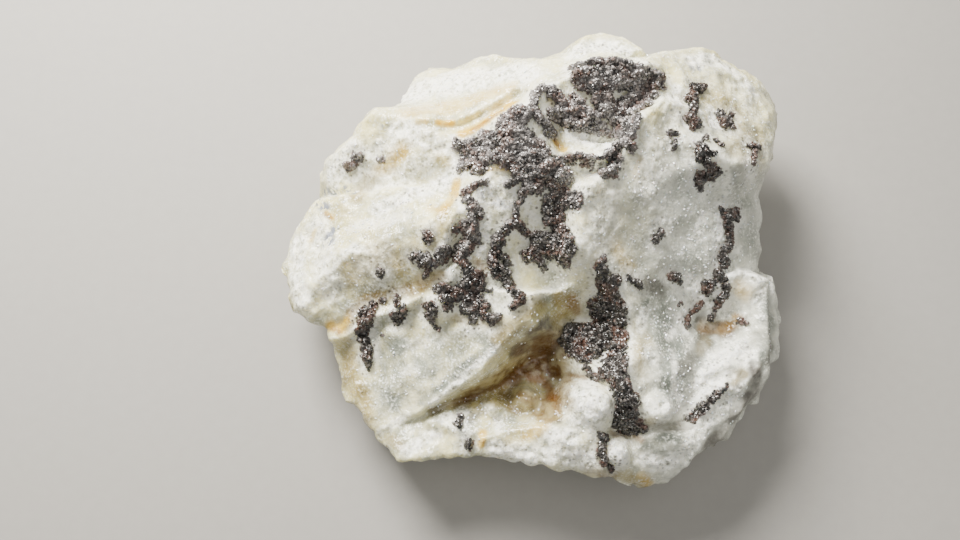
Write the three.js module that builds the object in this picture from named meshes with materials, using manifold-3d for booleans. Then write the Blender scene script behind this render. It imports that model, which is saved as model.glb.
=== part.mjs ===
import * as THREE from 'three';
import Module from 'manifold-3d';

// Quartz with sphalerite: a broken hand specimen of milky quartz with dark crusts on its upper side.
// Millimetres, z up, x to the right and y away from the viewer, resting on its flat underside at z 0.

// Driving dimensions
const CELL = 1.4;             // spacing of the points on the upper side
const RIM_STEP = 1.75;        // spacing of the points along the rim
const SIDE_ROWS = 7;          // rows of points from the rim down to the base
const BASE_SCALE = 0.74;      // width of the flat base against the rim
const BASE_CENTRE = [0.5, 0.5];
const RIM_DROP = 1.3;         // rounding of the edge where the upper side meets the rim
const BLEND = 5;              // sharpness of the joins between the forms
const SCOOP = 6.5;            // width of the shallow scoops that the stone broke in
const SCOOP_DEPTH = 1.2;      // depth of those scoops
const PLACE = [0, -1.35, 0];  // moves the middle of the specimen over the origin
const CRUST_GAP = 0.3;        // clearance between the quartz and the crusts that sit on it
const GRAIN = 1.25;           // width of a grain of the crusts
const GRAIN_HIGH = 1.4;       // usual height of a grain above the quartz
const GRAIN_TURN = 0.45;      // turn of the grid of grains, in radians
const GRAIN_START = [1, 0.5]; // where that grid starts

// Outline of the specimen seen from above
const OUTLINE = [
  [8.3, 29.4], [10.8, 29.4], [12.8, 28.2], [15.4, 27.7], [21.9, 28.2], [23.5, 26.5], [25.6, 24.2], [27, 24.5],
  [29.6, 24], [30.8, 20.5], [30.8, 17.4], [30.2, 14.4], [29.1, 12.1], [28.4, 10.3], [28.3, 7.9], [28.8, 4.6],
  [28.5, 0], [30.3, -0.5], [30.9, -2.5], [31, -8.6], [30.5, -11.2], [28, -14.5], [27.7, -16.6], [25.4, -17.4],
  [24.6, -19.6], [23.8, -21.2], [20.4, -21.9], [18.7, -23.7], [15.9, -26.1], [12.5, -26.9], [9.3, -25.5],
  [7, -25.5], [5, -24.7], [0, -24.4], [-4.5, -23.1], [-7.6, -23.2], [-14.1, -23.7], [-16, -23.5],
  [-17.9, -21.9], [-19.8, -20.3], [-21.7, -17.1], [-23, -16.5], [-24.6, -9.5], [-25, -8], [-27.4, -7],
  [-29.4, -5.6], [-30.1, -2.6], [-31.2, 0.5], [-29.8, 5.1], [-27.5, 8.8], [-26.1, 13.1], [-22.5, 14.8],
  [-19.7, 19.2], [-16.7, 19.2], [-15.9, 24.9], [-13.2, 27.5], [-9.7, 25.5], [-4.6, 27.5], [-3, 26.2],
  [0, 25.7], [2.5, 26.5], [3.4, 26.2], [6.8, 28.9],
];

// Forms of the upper side: each is a sloping plateau with a height at one spot, a lean in x and y,
// a crown (loss in mm at 10 mm from the spot) and a flank that falls away outside its outline
const FORMS = [
  { name: 'low ground', at: [0, -18, 9.3], lean: [0.02, -0.15], crown: 0, flank: 0.6, outline: [
    [-30.4, 20.9], [11, 32.5], [32.6, 22.1], [32.2, 3.2], [25.9, -19.7], [12.3, -25.1], [-14.1, -23.5],
    [-25.9, -14.5]] },
  { name: 'upper left slab', at: [-3.5, 19, 21.2], lean: [0.42, -0.7], crown: 0.8, flank: 2, outline: [
    [-18.9, 19.4], [-16.7, 20.9], [-13.7, 27.4], [-4.7, 25.6], [1.5, 22.5], [7, 23.5], [11.5, 21],
    [12.5, 20], [7, 19.5], [2.5, 18.5], [-2, 16.5], [-5.5, 14.5], [-9, 12], [-12, 14.5], [-16, 16]] },
  { name: 'left boss, upper part', at: [-17, 12, 18.4], lean: [0.55, 0.42], crown: 0.8, flank: 1.6, outline: [
    [-21.5, 16], [-19.1, 16.6], [-16, 15.5], [-12, 14], [-9, 12], [-9, 9.5], [-11, 8], [-16, 7.5],
    [-22, 8], [-27, 11.1], [-26.1, 12.5]] },
  { name: 'left boss, lower part', at: [-20, 0, 18.2], lean: [0.56, -0.09], crown: 1.2, flank: 2.4, outline: [
    [-29.3, 5.3], [-26.8, 8], [-15.5, 7.5], [-10, 6.5], [-9, 4], [-11, 0.5], [-13, -2], [-16, -4],
    [-20.5, -5.5], [-24.9, -8.3], [-27.9, -7.2], [-30, -3.7], [-31.2, 1.1]] },
  { name: 'lower left plate', at: [-11, -11.5, 14.3], lean: [0.35, 0.22], crown: 0, flank: 3, outline: [
    [-24.9, -8.3], [-21, -4.5], [-16, -3.5], [-10, -2.5], [-4, -4.5], [2.5, -5.5], [6, -4], [2.5, -6.5],
    [-2, -8.5], [-4, -10.5], [-6.5, -13.5], [-10, -15.5], [-13, -17.5], [-16.7, -19.7], [-14.6, -24],
    [-18, -22.7], [-21.5, -19.4], [-22.9, -17.2], [-23.8, -16.1]] },
  { name: 'middle', at: [0.5, 5, 21.1], lean: [-0.31, 0.55], crown: 0.5, flank: 2, outline: [
    [-9, 11], [-4, 13.5], [0.5, 16.5], [7, 20], [14, 20.5], [14.5, 18], [11.5, 14.5], [11, 10], [8, 7], [6.5, 1.5],
    [7.5, -1], [6.5, -3], [1, -5], [-4, -6.5], [-11, -7.5], [-12, -5.5], [-12, -4], [-9, -1.5], [-7.5, 1],
    [-9, 5.5]] },
  { name: 'right face', at: [17.5, 5, 19.3], lean: [-0.57, 0.38], crown: 0, flank: 2.2, outline: [
    [6, 5], [9.5, 8.5], [11, 13], [14, 16], [18.5, 15.5], [22.5, 13], [27.5, 11.5], [28.5, 9.2],
    [28.4, 5.8], [29.6, 1.6], [29, 0], [24.5, -1.5], [19.5, -1.5], [13, -2.5], [9.5, -3.5], [7, -2],
    [5.5, 0.5]] },
  { name: 'upper right boss', at: [21.5, 17.5, 20.1], lean: [-0.52, -0.32], crown: 1.2, flank: 1.6, outline: [
    [13, 22], [19.8, 26], [23, 26.3], [27.3, 24.7], [31.2, 22.8], [30.2, 16.9], [27.6, 11], [23.5, 9.5],
    [17.5, 10], [14, 13], [13, 17.5]] },
  { name: 'lower right face', at: [16.5, -10.5, 15.2], lean: [-0.58, 0.26], crown: 0, flank: 2.2, outline: [
    [8, -3.5], [13, -2.5], [19.5, -1.5], [25, -1], [26.5, -5.5], [24, -10], [21.5, -13], [19.5, -16],
    [18.5, -18], [15, -19.5], [11.5, -18.5], [10, -16.5], [9, -12.5], [8.5, -8]] },
  { name: 'white ledge', at: [21.5, -13.5, 14.4], lean: [0.66, -0.04], crown: 0, flank: 2.5, outline: [
    [21.5, -10], [23, -9], [25, -8.5], [25, -12.5], [23.5, -15], [21, -15.5], [19, -17.5], [18.5, -17.5],
    [18.5, -15], [19.5, -13]] },
  { name: 'right rim', at: [23, -13, 13.6], lean: [-0.16, 0.11], crown: 0, flank: 2.2, outline: [
    [24.5, -1.5], [27.9, -2.5], [27.6, -7], [28, -13.5], [24.7, -17], [22.4, -20.9], [19.7, -22.8],
    [17.8, -24.1], [18, -20], [20.5, -16.5], [24, -13.5], [25.5, -9], [25.5, -5]] },
  { name: 'right step', at: [26, -13.5, 9.6], lean: [-0.07, 0.07], crown: 0, flank: 2, outline: [
    [30.2, -1], [31, -3.1], [31.4, -8.9], [30.2, -13], [28.5, -16.6], [25.8, -18], [24, -21.9],
    [21.1, -23.2], [20.6, -20.6], [24.8, -15.2], [27.8, -9.1]] },
  { name: 'lower rim', at: [1, -21.5, 14], lean: [0.11, 0.21], crown: 0.5, flank: 2, outline: [
    [-6.2, -21], [-3, -20], [1, -19.5], [4.5, -18], [7, -19.5], [8.2, -25.1], [6.8, -26], [0, -24.9],
    [-4.2, -24.1], [-6.8, -23.6]] },
  { name: 'lower left corner', at: [-11.5, -21, 11.3], lean: [0, -0.3], crown: 0, flank: 2, outline: [
    [-16.7, -19.7], [-13, -18], [-9.5, -19.5], [-6.8, -21.9], [-6.8, -24.1], [-11.5, -24.1],
    [-15.1, -24.5], [-17, -22.7]] },
  { name: 'lower right lobe', at: [13.5, -23, 13.3], lean: [-0.04, 0.6], crown: 1.5, flank: 2, outline: [
    [12, -21], [14.5, -20], [17.6, -20.6], [19.7, -22.3], [18.8, -24.6], [15.2, -26.8], [12.4, -27.3],
    [10.2, -26], [9.2, -24.9], [11.1, -23.7]] },
  { name: 'top boss', at: [8, 23.5, 21.5], lean: [0, -0.5], crown: 0.5, flank: 2, outline: [
    [4.5, 23], [6, 25.5], [8, 26.4], [10.5, 26], [12.5, 23.5], [8, 22.5]] },
  { name: 'bright facet', at: [5.5, 11, 24], lean: [0.25, -0.2], crown: 0, flank: 3, outline: [
    [2.4, 13.2], [4, 11.8], [6.7, 11.2], [8.6, 11], [8, 9.9], [6.7, 9.1], [4.5, 9.7], [2.6, 10.2]] },
  { name: 'bank in the hollow', at: [-4, -18, 11.1], lean: [0, -0.55], crown: 0, flank: 1.2, outline: [
    [-4, -16.5], [1, -16], [3, -18], [1, -19.5], [-3.5, -20], [-7.6, -20.2], [-12.5, -19], [-10, -17]] },
];

// Knobs: highest point, radius and the drop at that radius
const KNOBS = [
  { at: [6.5, -17, 17.5], radius: 2.3, drop: 2.2 },
  { at: [9.5, -22.5, 15.8], radius: 1.5, drop: 1.8 },
  { at: [24.5, -4, 17], radius: 1.9, drop: 1.4 },
  { at: [13.5, -17.5, 17.6], radius: 1.8, drop: 1.6 },
  { at: [2.5, -18, 14], radius: 1.1, drop: 1.4 },
  { at: [-10, -3, 20], radius: 0.9, drop: 1 },
  { at: [-1, -16.5, 12.3], radius: 1.3, drop: 1.2 },
  { at: [-5, -17.5, 12], radius: 1, drop: 1 },
  { at: [8.5, -2, 23.2], radius: 1.5, drop: 1.2 },
];

// Hollows: floor height at one spot, lean of the floor, and the slope of the walls
const HOLLOWS = [
  { name: 'dark hollow', at: [6, -9, 12.2], lean: [0.13, 0], flank: 1.6, outline: [
    [4, -7.5], [6, -6.5], [8, -7.5], [8.5, -10], [7.5, -11.5], [5.5, -11.5], [3.5, -10]] },
  { name: 'step under the left boss', at: [-18, -5.5, 14.1], lean: [0.39, 0.15], flank: 0.7, outline: [
    [-23.5, -7.5], [-21, -5.5], [-16.5, -4], [-13.5, -3], [-12.5, -4], [-16, -5], [-20.5, -7], [-22.5, -8.5]] },
  { name: 'cleft beside the bright facet', at: [2.5, 11.5, 22.6], lean: [0, 0], flank: 2, outline: [
    [1.5, 12.5], [2, 13], [3, 11], [2.5, 10.5]] },
  { name: 'trough by the right rim', at: [22, -7.5, 11.4], lean: [0, 0.09], flank: 0.6, outline: [
    [20.5, -6], [24.5, -6], [24, -8.5], [20.5, -9], [19.5, -7.5]] },
  { name: 'furrow across the left boss', at: [-15.5, 7, 18.4], lean: [0.42, -0.08], flank: 0.3, outline: [
    [-24, 5.5], [-19, 6.5], [-11, 8.5], [-9.5, 10], [-9.5, 9], [-11, 7.5], [-18, 5], [-23, 3.5]] },
  { name: 'cleft under the upper left slab', at: [-11.5, 14.5, 20.3], lean: [0.2, 0], flank: 1.8, outline: [
    [-13.5, 14.7], [-9.6, 14.5], [-7.6, 14.9], [-4.1, 16.7], [-1.8, 18], [-1.6, 17.5], [-4.1, 16], [-7.6, 14],
    [-9.6, 13.6], [-13.3, 14]] },
];

// Broken faces that trim the sides: compass angle, tilt below level, distance from the origin
const SIDE_FACES = [
  { turn: 0, tilt: 35, reach: 22.2 }, { turn: 35, tilt: 48, reach: 17.7 }, { turn: 65, tilt: 28, reach: 23.7 },
  { turn: 95, tilt: 35, reach: 17.2 }, { turn: 125, tilt: 30, reach: 21.2 }, { turn: 155, tilt: 42, reach: 16.7 },
  { turn: 185, tilt: 25, reach: 26.7 }, { turn: 215, tilt: 42, reach: 18.7 }, { turn: 245, tilt: 30, reach: 20.7 },
  { turn: 275, tilt: 40, reach: 15.2 }, { turn: 305, tilt: 28, reach: 24.7 }, { turn: 335, tilt: 42, reach: 20.7 },
];

// Crusts of sphalerite: runs of grains, each run a half width and the points it follows
const CRUSTS = {
  sphalerite_main: [
    [1.1, [5, 19.5], [7, 19.5], [9.5, 19.5], [11.5, 18.5], [13, 18.5]],
    [1.3, [5, 17.5], [7, 17.5], [9, 17.5], [11.5, 17.5], [13, 17.5]],
    [1.2, [6, 16], [8, 16], [10, 16], [12, 16]],
    [1.1, [2, 15], [4, 14.5], [6, 14], [7.5, 14], [9, 14], [10, 15]],
    [0.9, [10, 13], [9.5, 11.5], [8.5, 10], [8, 8]],
    [0.6, [7.5, 9.5], [5.5, 10], [4, 10], [2.5, 9.5]],
    [0.7, [0, 16], [-0.5, 14.5], [0.5, 12.5]],
    [0.7, [0, 16], [2, 15.5]],
    [0.9, [-4, 13], [-3, 14], [-1.5, 13.5], [-2, 12.5], [-3.5, 12]],
    [1.1, [-9, 12], [-7.5, 11], [-4.5, 11], [-3, 11], [-1, 10.5], [0.5, 10.5]],
    [1, [-8.5, 10], [-7, 9.5], [-3.5, 9.5], [-2, 9], [0, 8.5], [2, 9.5], [3.5, 8.5]],
    [1, [-3, 7], [-2, 7.5], [-0.5, 7], [1, 7], [2.5, 7]],
    [0.8, [-6, 8.5], [-7, 6.5], [-8, 5.5], [-7, 3.5], [-8, 1.5], [-8, 0]],
    [0.7, [-13.5, -1], [-12, -1], [-10.5, -0.5], [-8.5, 0]],
    [0.6, [-12.5, -1], [-13, -2.5]],
    [1, [-8, 0], [-8, -2], [-6.5, -3.5], [-8, -4.5], [-8.5, -5.5]],
    [0.6, [-8.5, -4.5], [-11, -4.5]],
    [0.6, [-12.5, -6], [-12, -6.5], [-11.5, -8.5]],
    [0.8, [-12, -6], [-10, -6], [-8.5, -5.5], [-5.5, -5.5]],
    [0.9, [-8, -6], [-7.5, -6.5], [-5.5, -7], [-5, -8]],
    [0.9, [-1, 6.5], [1, 6], [3, 6], [4, 5]],
    [0.7, [-2, 6.5], [-2.5, 4], [-3, 3]],
    [1.1, [3, 5.5], [2.5, 3], [3.5, 0], [2.5, -0.5]],
    [0.9, [2.5, 1], [0.5, 0.5], [1, -1]],
    [0.7, [0.5, 2], [-1, 2.5], [-3.5, 2], [-4.5, 0.5], [-5, -0.5]],
    [0.9, [-5, -0.5], [-5, -2], [-3, -3.5], [-2.5, -5.5]],
    [0.6, [-4, -0.5], [-3, -1]],
  ],
  sphalerite_streak: [
    [0.6, [7.5, -1.5], [7.5, -2.5]],
    [1.3, [8, -3], [8.5, -4], [8, -5], [9, -7], [9.5, -9], [9, -12.5]],
    [1.1, [9, -13], [9.5, -15.5], [10.5, -18], [11, -19]],
    [0.8, [12, -19.5], [10, -19.5]],
    [1.3, [5, -8], [6.5, -8.5], [5, -10], [7, -10.5]],
    [0.8, [6, -11], [6, -12], [6.5, -14]],
  ],
  sphalerite_fissure: [[0.6, [7.5, -20.5], [7.5, -22], [7.5, -23], [8.5, -24.5]]],
  sphalerite_right_1: [[0.6, [20, 19], [18, 18.5], [17.5, 16.5], [17.5, 13.5]]],
  sphalerite_right_2: [[0.7, [21.5, 15.5], [22.5, 15]]],
  sphalerite_right_3: [[0.5, [15, 12.5], [15, 11.5]]],
  sphalerite_right_4: [[0.7, [19, 12], [18, 10.5], [19, 9.5], [20.5, 8.5]]],
  sphalerite_right_5: [[0.7, [18.5, 7.5], [18.5, 7]]],
  sphalerite_right_7: [[0.5, [25, 12.5], [26, 12.5], [25.5, 10.5]]],
  sphalerite_right_8: [[0.6, [14.5, 2], [13.5, 1.5]]],
  sphalerite_right_9: [[0.7, [22, 5.5], [24, 5], [23, 3], [23, 1], [22.5, -0.5], [22, -2], [23, -4], [21.5, -6.5]]],
  sphalerite_right_10: [[0.6, [16, -2.5], [17, -2.5]]],
  sphalerite_right_11: [[0.6, [20.5, -2.5], [21, -4]]],
  sphalerite_right_12: [[0.5, [19.5, -5.5], [18.5, -7.5]]],
  sphalerite_right_13: [[0.5, [21.5, -15.5], [20, -17], [18.5, -18.5]]],
  sphalerite_right_14: [[0.5, [10.5, -3], [12, -3.5]]],
  sphalerite_left_1: [[0.6, [-21, 12], [-22.5, 11.5]]],
  sphalerite_left_2: [[0.8, [-12, 1.5]]],
  sphalerite_left_3: [[0.6, [-18, -2]]],
  sphalerite_left_4: [[0.8, [-19.5, -6], [-20.5, -7], [-20.5, -10], [-20, -12]]],
  sphalerite_left_5: [[0.6, [-16.5, -5], [-16, -6], [-16.5, -7]]],
  sphalerite_left_6: [[0.7, [-9, -19]]],
  sphalerite_left_7: [[0.7, [-7.5, -21.5]]],
};

const wasm = await Module();
wasm.setup();
const quartzStone = new THREE.MeshStandardMaterial({ color: 0xe6e3d8, roughness: 0.45, metalness: 0 });
const darkCrystal = new THREE.MeshStandardMaterial({ color: 0x352a25, roughness: 0.35, metalness: 0 });

// Seeded random numbers from 0 to 1
function randomFrom(seed) {
  let state = seed;
  return () => {
    state = (state * 16807) % 2147483647;
    return state / 2147483647;
  };
}

// Number from 0 to 1 that belongs to a cell in space
function hash(i, j, k) {
  const v = Math.sin(i * 12.9898 + j * 78.233 + k * 37.719) * 43758.5453;
  return v - Math.floor(v);
}

// Smooth noise from -1 to 1 at a point in space
function noise(x, y, z) {
  const cell = [Math.floor(x), Math.floor(y), Math.floor(z)];
  const [u, v, w] = [x - cell[0], y - cell[1], z - cell[2]].map((t) => t * t * (3 - 2 * t));
  let sum = 0;
  for (let corner = 0; corner < 8; corner++) {
    const [i, j, k] = [corner & 1, (corner >> 1) & 1, corner >> 2];
    const share = (i ? u : 1 - u) * (j ? v : 1 - v) * (k ? w : 1 - w);
    sum += share * hash(cell[0] + i, cell[1] + j, cell[2] + k);
  }
  return 2 * sum - 1;
}

// Shallow scoops with sharp ridges between them, from 0 to about 1 high
function scoops(x, y) {
  const [u, v] = [x / SCOOP, y / SCOOP];
  let lowest = Infinity;
  for (let near = 0; near < 9; near++) {
    const [i, j] = [Math.floor(u) + (near % 3) - 1, Math.floor(v) + Math.floor(near / 3) - 1];
    const [dx, dy] = [u - i - hash(i, j, 1), v - j - hash(i, j, 2)];
    const tilt = (hash(i, j, 3) - 0.5) * dx + (hash(i, j, 4) - 0.5) * dy;
    lowest = Math.min(lowest, dx * dx + dy * dy + 0.9 * tilt + 0.4 * hash(i, j, 5));
  }
  return lowest;
}

// Distance from a point to a closed outline, negative inside it
function distanceTo(outline, x, y) {
  let nearest = Infinity;
  let inside = false;
  outline.forEach(([ax, ay], i) => {
    const [bx, by] = outline[(i + 1) % outline.length];
    const [ex, ey, wx, wy] = [bx - ax, by - ay, x - ax, y - ay];
    const t = Math.min(1, Math.max(0, (wx * ex + wy * ey) / (ex * ex + ey * ey)));
    nearest = Math.min(nearest, Math.hypot(wx - t * ex, wy - t * ey));
    if (ay > y !== by > y && x < ax + ((y - ay) * ex) / ey) inside = !inside;
  });
  return inside ? -nearest : nearest;
}

// Smooth maximum of a list of heights
function blendHighest(heights) {
  const peak = Math.max(...heights);
  return peak + Math.log(heights.reduce((sum, h) => sum + Math.exp(BLEND * (h - peak)), 0)) / BLEND;
}

// Height of the upper side above the base
function topHeight(x, y) {
  const slope = ({ at, lean, outline, flank }, side) =>
    at[2] + lean[0] * (x - at[0]) + lean[1] * (y - at[1]) + side * flank * Math.max(0, distanceTo(outline, x, y));
  const fromSpot = (at) => (x - at[0]) ** 2 + (y - at[1]) ** 2;
  const heights = FORMS.map((form) => slope(form, -1) - (form.crown * fromSpot(form.at)) / 100);
  KNOBS.forEach(({ at, radius, drop }) => heights.push(at[2] - (drop * fromSpot(at)) / radius ** 2));
  let z = blendHighest(heights);
  HOLLOWS.forEach((hollow) => {
    z = -blendHighest([-z, -slope(hollow, 1)]);
  });
  z += SCOOP_DEPTH * (scoops(x, y) - 0.45) + 0.3 * noise(x / 2.1, y / 2.1, 7.5);
  return z - RIM_DROP * Math.exp(Math.min(0, distanceTo(OUTLINE, x, y)) / 0.9);
}

// Points at even steps along the outline
function rimPoints() {
  const shape = new THREE.Shape(OUTLINE.map(([x, y]) => new THREE.Vector2(x, y)));
  shape.closePath();
  const count = Math.round(shape.getLength() / RIM_STEP);
  return shape.getSpacedPoints(count).slice(0, count).reverse();
}

// Point of the side below a rim point: share 0 at the rim and 1 at the base
function sidePoint(rim, rimHeight, share) {
  const bend = share * (Math.PI / 2);
  const z = rimHeight * (1 - Math.sin(bend));
  const narrow = 1 - (1 - BASE_SCALE) * (1 - Math.cos(bend)) ** 0.8;
  const [cx, cy] = BASE_CENTRE;
  let [x, y] = [cx + (rim.x - cx) * narrow, cy + (rim.y - cy) * narrow];
  const away = Math.hypot(x - cx, y - cy);
  const push = Math.min(1, 3 * share) * (0.8 * noise(x / 7, y / 7, z / 7) + 0.5 * noise(x / 3, y / 3, z / 3));
  [x, y] = [x + ((x - cx) / away) * push, y + ((y - cy) / away) * push];
  if (share === 0) return [rim.x, rim.y, rimHeight];
  SIDE_FACES.forEach(({ turn, tilt, reach }) => {
    const [a, b] = [(turn * Math.PI) / 180, (tilt * Math.PI) / 180];
    const over = x * Math.cos(a) * Math.cos(b) + y * Math.sin(a) * Math.cos(b) - z * Math.sin(b) - reach;
    if (over > 0) [x, y] = [x - (over / Math.cos(b)) * Math.cos(a), y - (over / Math.cos(b)) * Math.sin(a)];
  });
  return [x, y, z];
}

// Loop of grid corners around the cells that lie well inside the outline
function gridLoop(isIn) {
  const next = new Map();
  for (const key of isIn) {
    const [i, j] = key.split(',').map(Number);
    if (!isIn.has(`${i},${j - 1}`)) next.set(`${i},${j}`, `${i + 1},${j}`);
    if (!isIn.has(`${i + 1},${j}`)) next.set(`${i + 1},${j}`, `${i + 1},${j + 1}`);
    if (!isIn.has(`${i},${j + 1}`)) next.set(`${i + 1},${j + 1}`, `${i},${j + 1}`);
    if (!isIn.has(`${i - 1},${j}`)) next.set(`${i},${j + 1}`, `${i},${j}`);
  }
  const loop = [next.keys().next().value];
  while (next.get(loop.at(-1)) !== loop[0]) loop.push(next.get(loop.at(-1)));
  if (loop.length !== next.size) throw new Error('the grid has more than one edge');
  return loop;
}

// Triangles, facing up, that fill a ring of points around any holes
function fillBetween(points, ring, holes) {
  const flat = (indices) => indices.map((i) => new THREE.Vector2(points[i][0], points[i][1]));
  const all = [ring, ...holes].flat();
  return THREE.ShapeUtils.triangulateShape(flat(ring), holes.map(flat)).map((face) => {
    const [a, b, c] = face.map((i) => all[i]);
    const [p, q, r] = [points[a], points[b], points[c]];
    const turn = (q[0] - p[0]) * (r[1] - p[1]) - (q[1] - p[1]) * (r[0] - p[0]);
    return turn > 0 ? [a, b, c] : [a, c, b];
  });
}

// Quartz: upper side on a square grid, sides in rows down from the rim, and a flat base
function makeQuartz() {
  const points = [];
  const faces = [];
  const add = (x, y, z) => points.push([x, y, z]) - 1;
  const rim = rimPoints();
  const n = rim.length;
  const ring = rim.map(({ x, y }) => add(x, y, topHeight(x, y)));
  const isIn = new Set();
  const far = Math.ceil(33 / CELL);
  const deep = (i, j) => distanceTo(OUTLINE, i * CELL, j * CELL) < -0.6 * CELL;
  for (let i = -far; i < far; i++) {
    for (let j = -far; j < far; j++) {
      if (deep(i, j) && deep(i + 1, j) && deep(i, j + 1) && deep(i + 1, j + 1)) isIn.add(`${i},${j}`);
    }
  }
  const corners = new Map();
  const corner = (i, j) => {
    const key = `${i},${j}`;
    if (!corners.has(key)) corners.set(key, add(i * CELL, j * CELL, topHeight(i * CELL, j * CELL)));
    return corners.get(key);
  };
  for (const key of isIn) {
    const [i, j] = key.split(',').map(Number);
    const [a, b, c, d] = [corner(i, j), corner(i + 1, j), corner(i + 1, j + 1), corner(i, j + 1)];
    const flat = Math.abs(points[a][2] - points[c][2]) < Math.abs(points[b][2] - points[d][2]);
    faces.push(...(flat ? [[a, b, c], [a, c, d]] : [[a, b, d], [b, c, d]]));
  }
  const loop = gridLoop(isIn).map((key) => corner(...key.split(',').map(Number)));
  faces.push(...fillBetween(points, ring, [loop]));
  let above = ring;
  for (let row = 1; row <= SIDE_ROWS; row++) {
    const level = row === SIDE_ROWS ? 1 : row / SIDE_ROWS;
    const below = rim.map((spot, i) => add(...sidePoint(spot, points[ring[i]][2], level)));
    for (let i = 0; i < n; i++) {
      const j = (i + 1) % n;
      faces.push([above[i], below[i], below[j]], [above[i], below[j], above[j]]);
    }
    above = below;
  }
  above.forEach((index) => (points[index][2] = 0));
  const middle = add(...BASE_CENTRE, 0);
  above.forEach((index, i) => faces.push([above[(i + 1) % n], index, middle]));
  return solidOf(points.flat(), faces.flat());
}

// Solid from a list of coordinates and a list of corners
function solidOf(coordinates, corners) {
  const vertProperties = new Float32Array(coordinates);
  const triVerts = new Uint32Array(corners);
  return new wasm.Manifold(new wasm.Mesh({ numProp: 3, vertProperties, triVerts }));
}

// Place on the upper side of a point in the turned grid of grains
function grainSpot(i, j) {
  const [c, s] = [GRAIN * Math.cos(GRAIN_TURN), GRAIN * Math.sin(GRAIN_TURN)];
  return [GRAIN_START[0] + i * c - j * s, GRAIN_START[1] + i * s + j * c];
}

// Grid cells that a crust covers, clear of the crusts before it, with corner contacts filled in
function crustCells(runs, taken) {
  const reach = (x, y) => Math.min(...runs.map(([width, ...spots]) => distanceToPath(spots, x, y) - width));
  const isIn = new Set();
  const far = Math.ceil(42 / GRAIN);
  for (let i = -far; i < far; i++) {
    for (let j = -far; j < far; j++) {
      const ragged = 0.25 * noise(i * 0.9, j * 0.9, 3.5);
      const spot = grainSpot(i + 0.5, j + 0.5);
      const covered = reach(...spot) + ragged < 0.12 && distanceTo(OUTLINE, ...spot) < -1.4;
      if (covered && !taken.has(`${i},${j}`)) isIn.add(`${i},${j}`);
    }
  }
  for (let pass = 0; pass < 3; pass++) {
    for (const key of [...isIn]) {
      const [i, j] = key.split(',').map(Number);
      for (const side of [-1, 1]) {
        const apart = isIn.has(`${i + side},${j + 1}`) && !isIn.has(`${i + side},${j}`) && !isIn.has(`${i},${j + 1}`);
        if (apart) isIn.add(`${i + side},${j}`);
      }
    }
  }
  for (const key of isIn) {
    const [i, j] = key.split(',').map(Number);
    for (let near = 0; near < 9; near++) taken.add(`${i + (near % 3) - 1},${j + Math.floor(near / 3) - 1}`);
  }
  return isIn;
}

// Distance from a point to an open path
function distanceToPath(spots, x, y) {
  if (spots.length === 1) return Math.hypot(x - spots[0][0], y - spots[0][1]);
  let nearest = Infinity;
  for (let i = 0; i + 1 < spots.length; i++) {
    const [[ax, ay], [bx, by]] = [spots[i], spots[i + 1]];
    const [ex, ey, wx, wy] = [bx - ax, by - ay, x - ax, y - ay];
    const t = Math.min(1, Math.max(0, (wx * ex + wy * ey) / (ex * ex + ey * ey)));
    nearest = Math.min(nearest, Math.hypot(wx - t * ex, wy - t * ey));
  }
  return nearest;
}

// One crust: a pointed grain on each cell, with the quartz and a thin gap cut away beneath
function makeCrust(runs, ground, taken, random) {
  const points = [];
  const faces = [];
  const isIn = crustCells(runs, taken);
  const corners = new Map();
  const corner = (i, j) => {
    const key = `${i},${j}`;
    if (!corners.has(key)) {
      const inner = [[0, 0], [-1, 0], [0, -1], [-1, -1]].every(([a, b]) => isIn.has(`${i + a},${j + b}`));
      const [x, y] = grainSpot(i + 0.65 * (random() - 0.5), j + 0.65 * (random() - 0.5));
      const z = topHeight(x, y);
      points.push([x, y, z + (inner ? 0.6 : 0.5) + 0.5 * random()], [x, y, z - 1]);
      corners.set(key, points.length - 2);
    }
    return corners.get(key);
  };
  for (const key of isIn) {
    const [i, j] = key.split(',').map(Number);
    const around = [corner(i, j), corner(i + 1, j), corner(i + 1, j + 1), corner(i, j + 1)];
    const [x, y] = grainSpot(i + 0.35 + 0.3 * random(), j + 0.35 + 0.3 * random());
    const peak = points.push([x, y, topHeight(x, y) + GRAIN_HIGH * (0.7 + 0.6 * random())]) - 1;
    const open = [[0, -1], [1, 0], [0, 1], [-1, 0]].map(([a, b]) => !isIn.has(`${i + a},${j + b}`));
    around.forEach((a, side) => {
      const b = around[(side + 1) % 4];
      faces.push([a, b, peak]);
      if (open[side]) faces.push([a, a + 1, b + 1], [a, b + 1, b]);
    });
    const [a, b, c, d] = around.map((index) => index + 1);
    faces.push([a, c, b], [a, d, c]);
  }
  return largestOf(solidOf(points.flat(), faces.flat()).subtract(ground));
}

// Largest separate piece of a solid
function largestOf(solid) {
  const parts = solid.decompose().sort((a, b) => b.volume() - a.volume());
  return parts[0];
}

// Mesh from a solid, with flat shading
function meshOf(solid, name, material) {
  const { vertProperties, triVerts } = solid.translate(PLACE).getMesh();
  const geometry = new THREE.BufferGeometry();
  geometry.setAttribute('position', new THREE.BufferAttribute(new Float32Array(vertProperties), 3));
  geometry.setIndex(new THREE.BufferAttribute(new Uint32Array(triVerts), 1));
  const mesh = new THREE.Mesh(geometry, material);
  mesh.name = name;
  return mesh;
}

const part = new THREE.Group();
part.name = 'quartz_with_sphalerite';
const quartz = makeQuartz();
part.add(meshOf(quartz, 'quartz', quartzStone));
const ground = quartz.translate([0, 0, CRUST_GAP]);
const taken = new Set();
Object.entries(CRUSTS).forEach(([name, runs], i) => {
  part.add(meshOf(makeCrust(runs, ground, taken, randomFrom(1009 + 97 * i)), name, darkCrystal));
});

export default part;
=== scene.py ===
import functools
import math
import bmesh
import bpy
import numpy as np
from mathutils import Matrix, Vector, geometry


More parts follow.
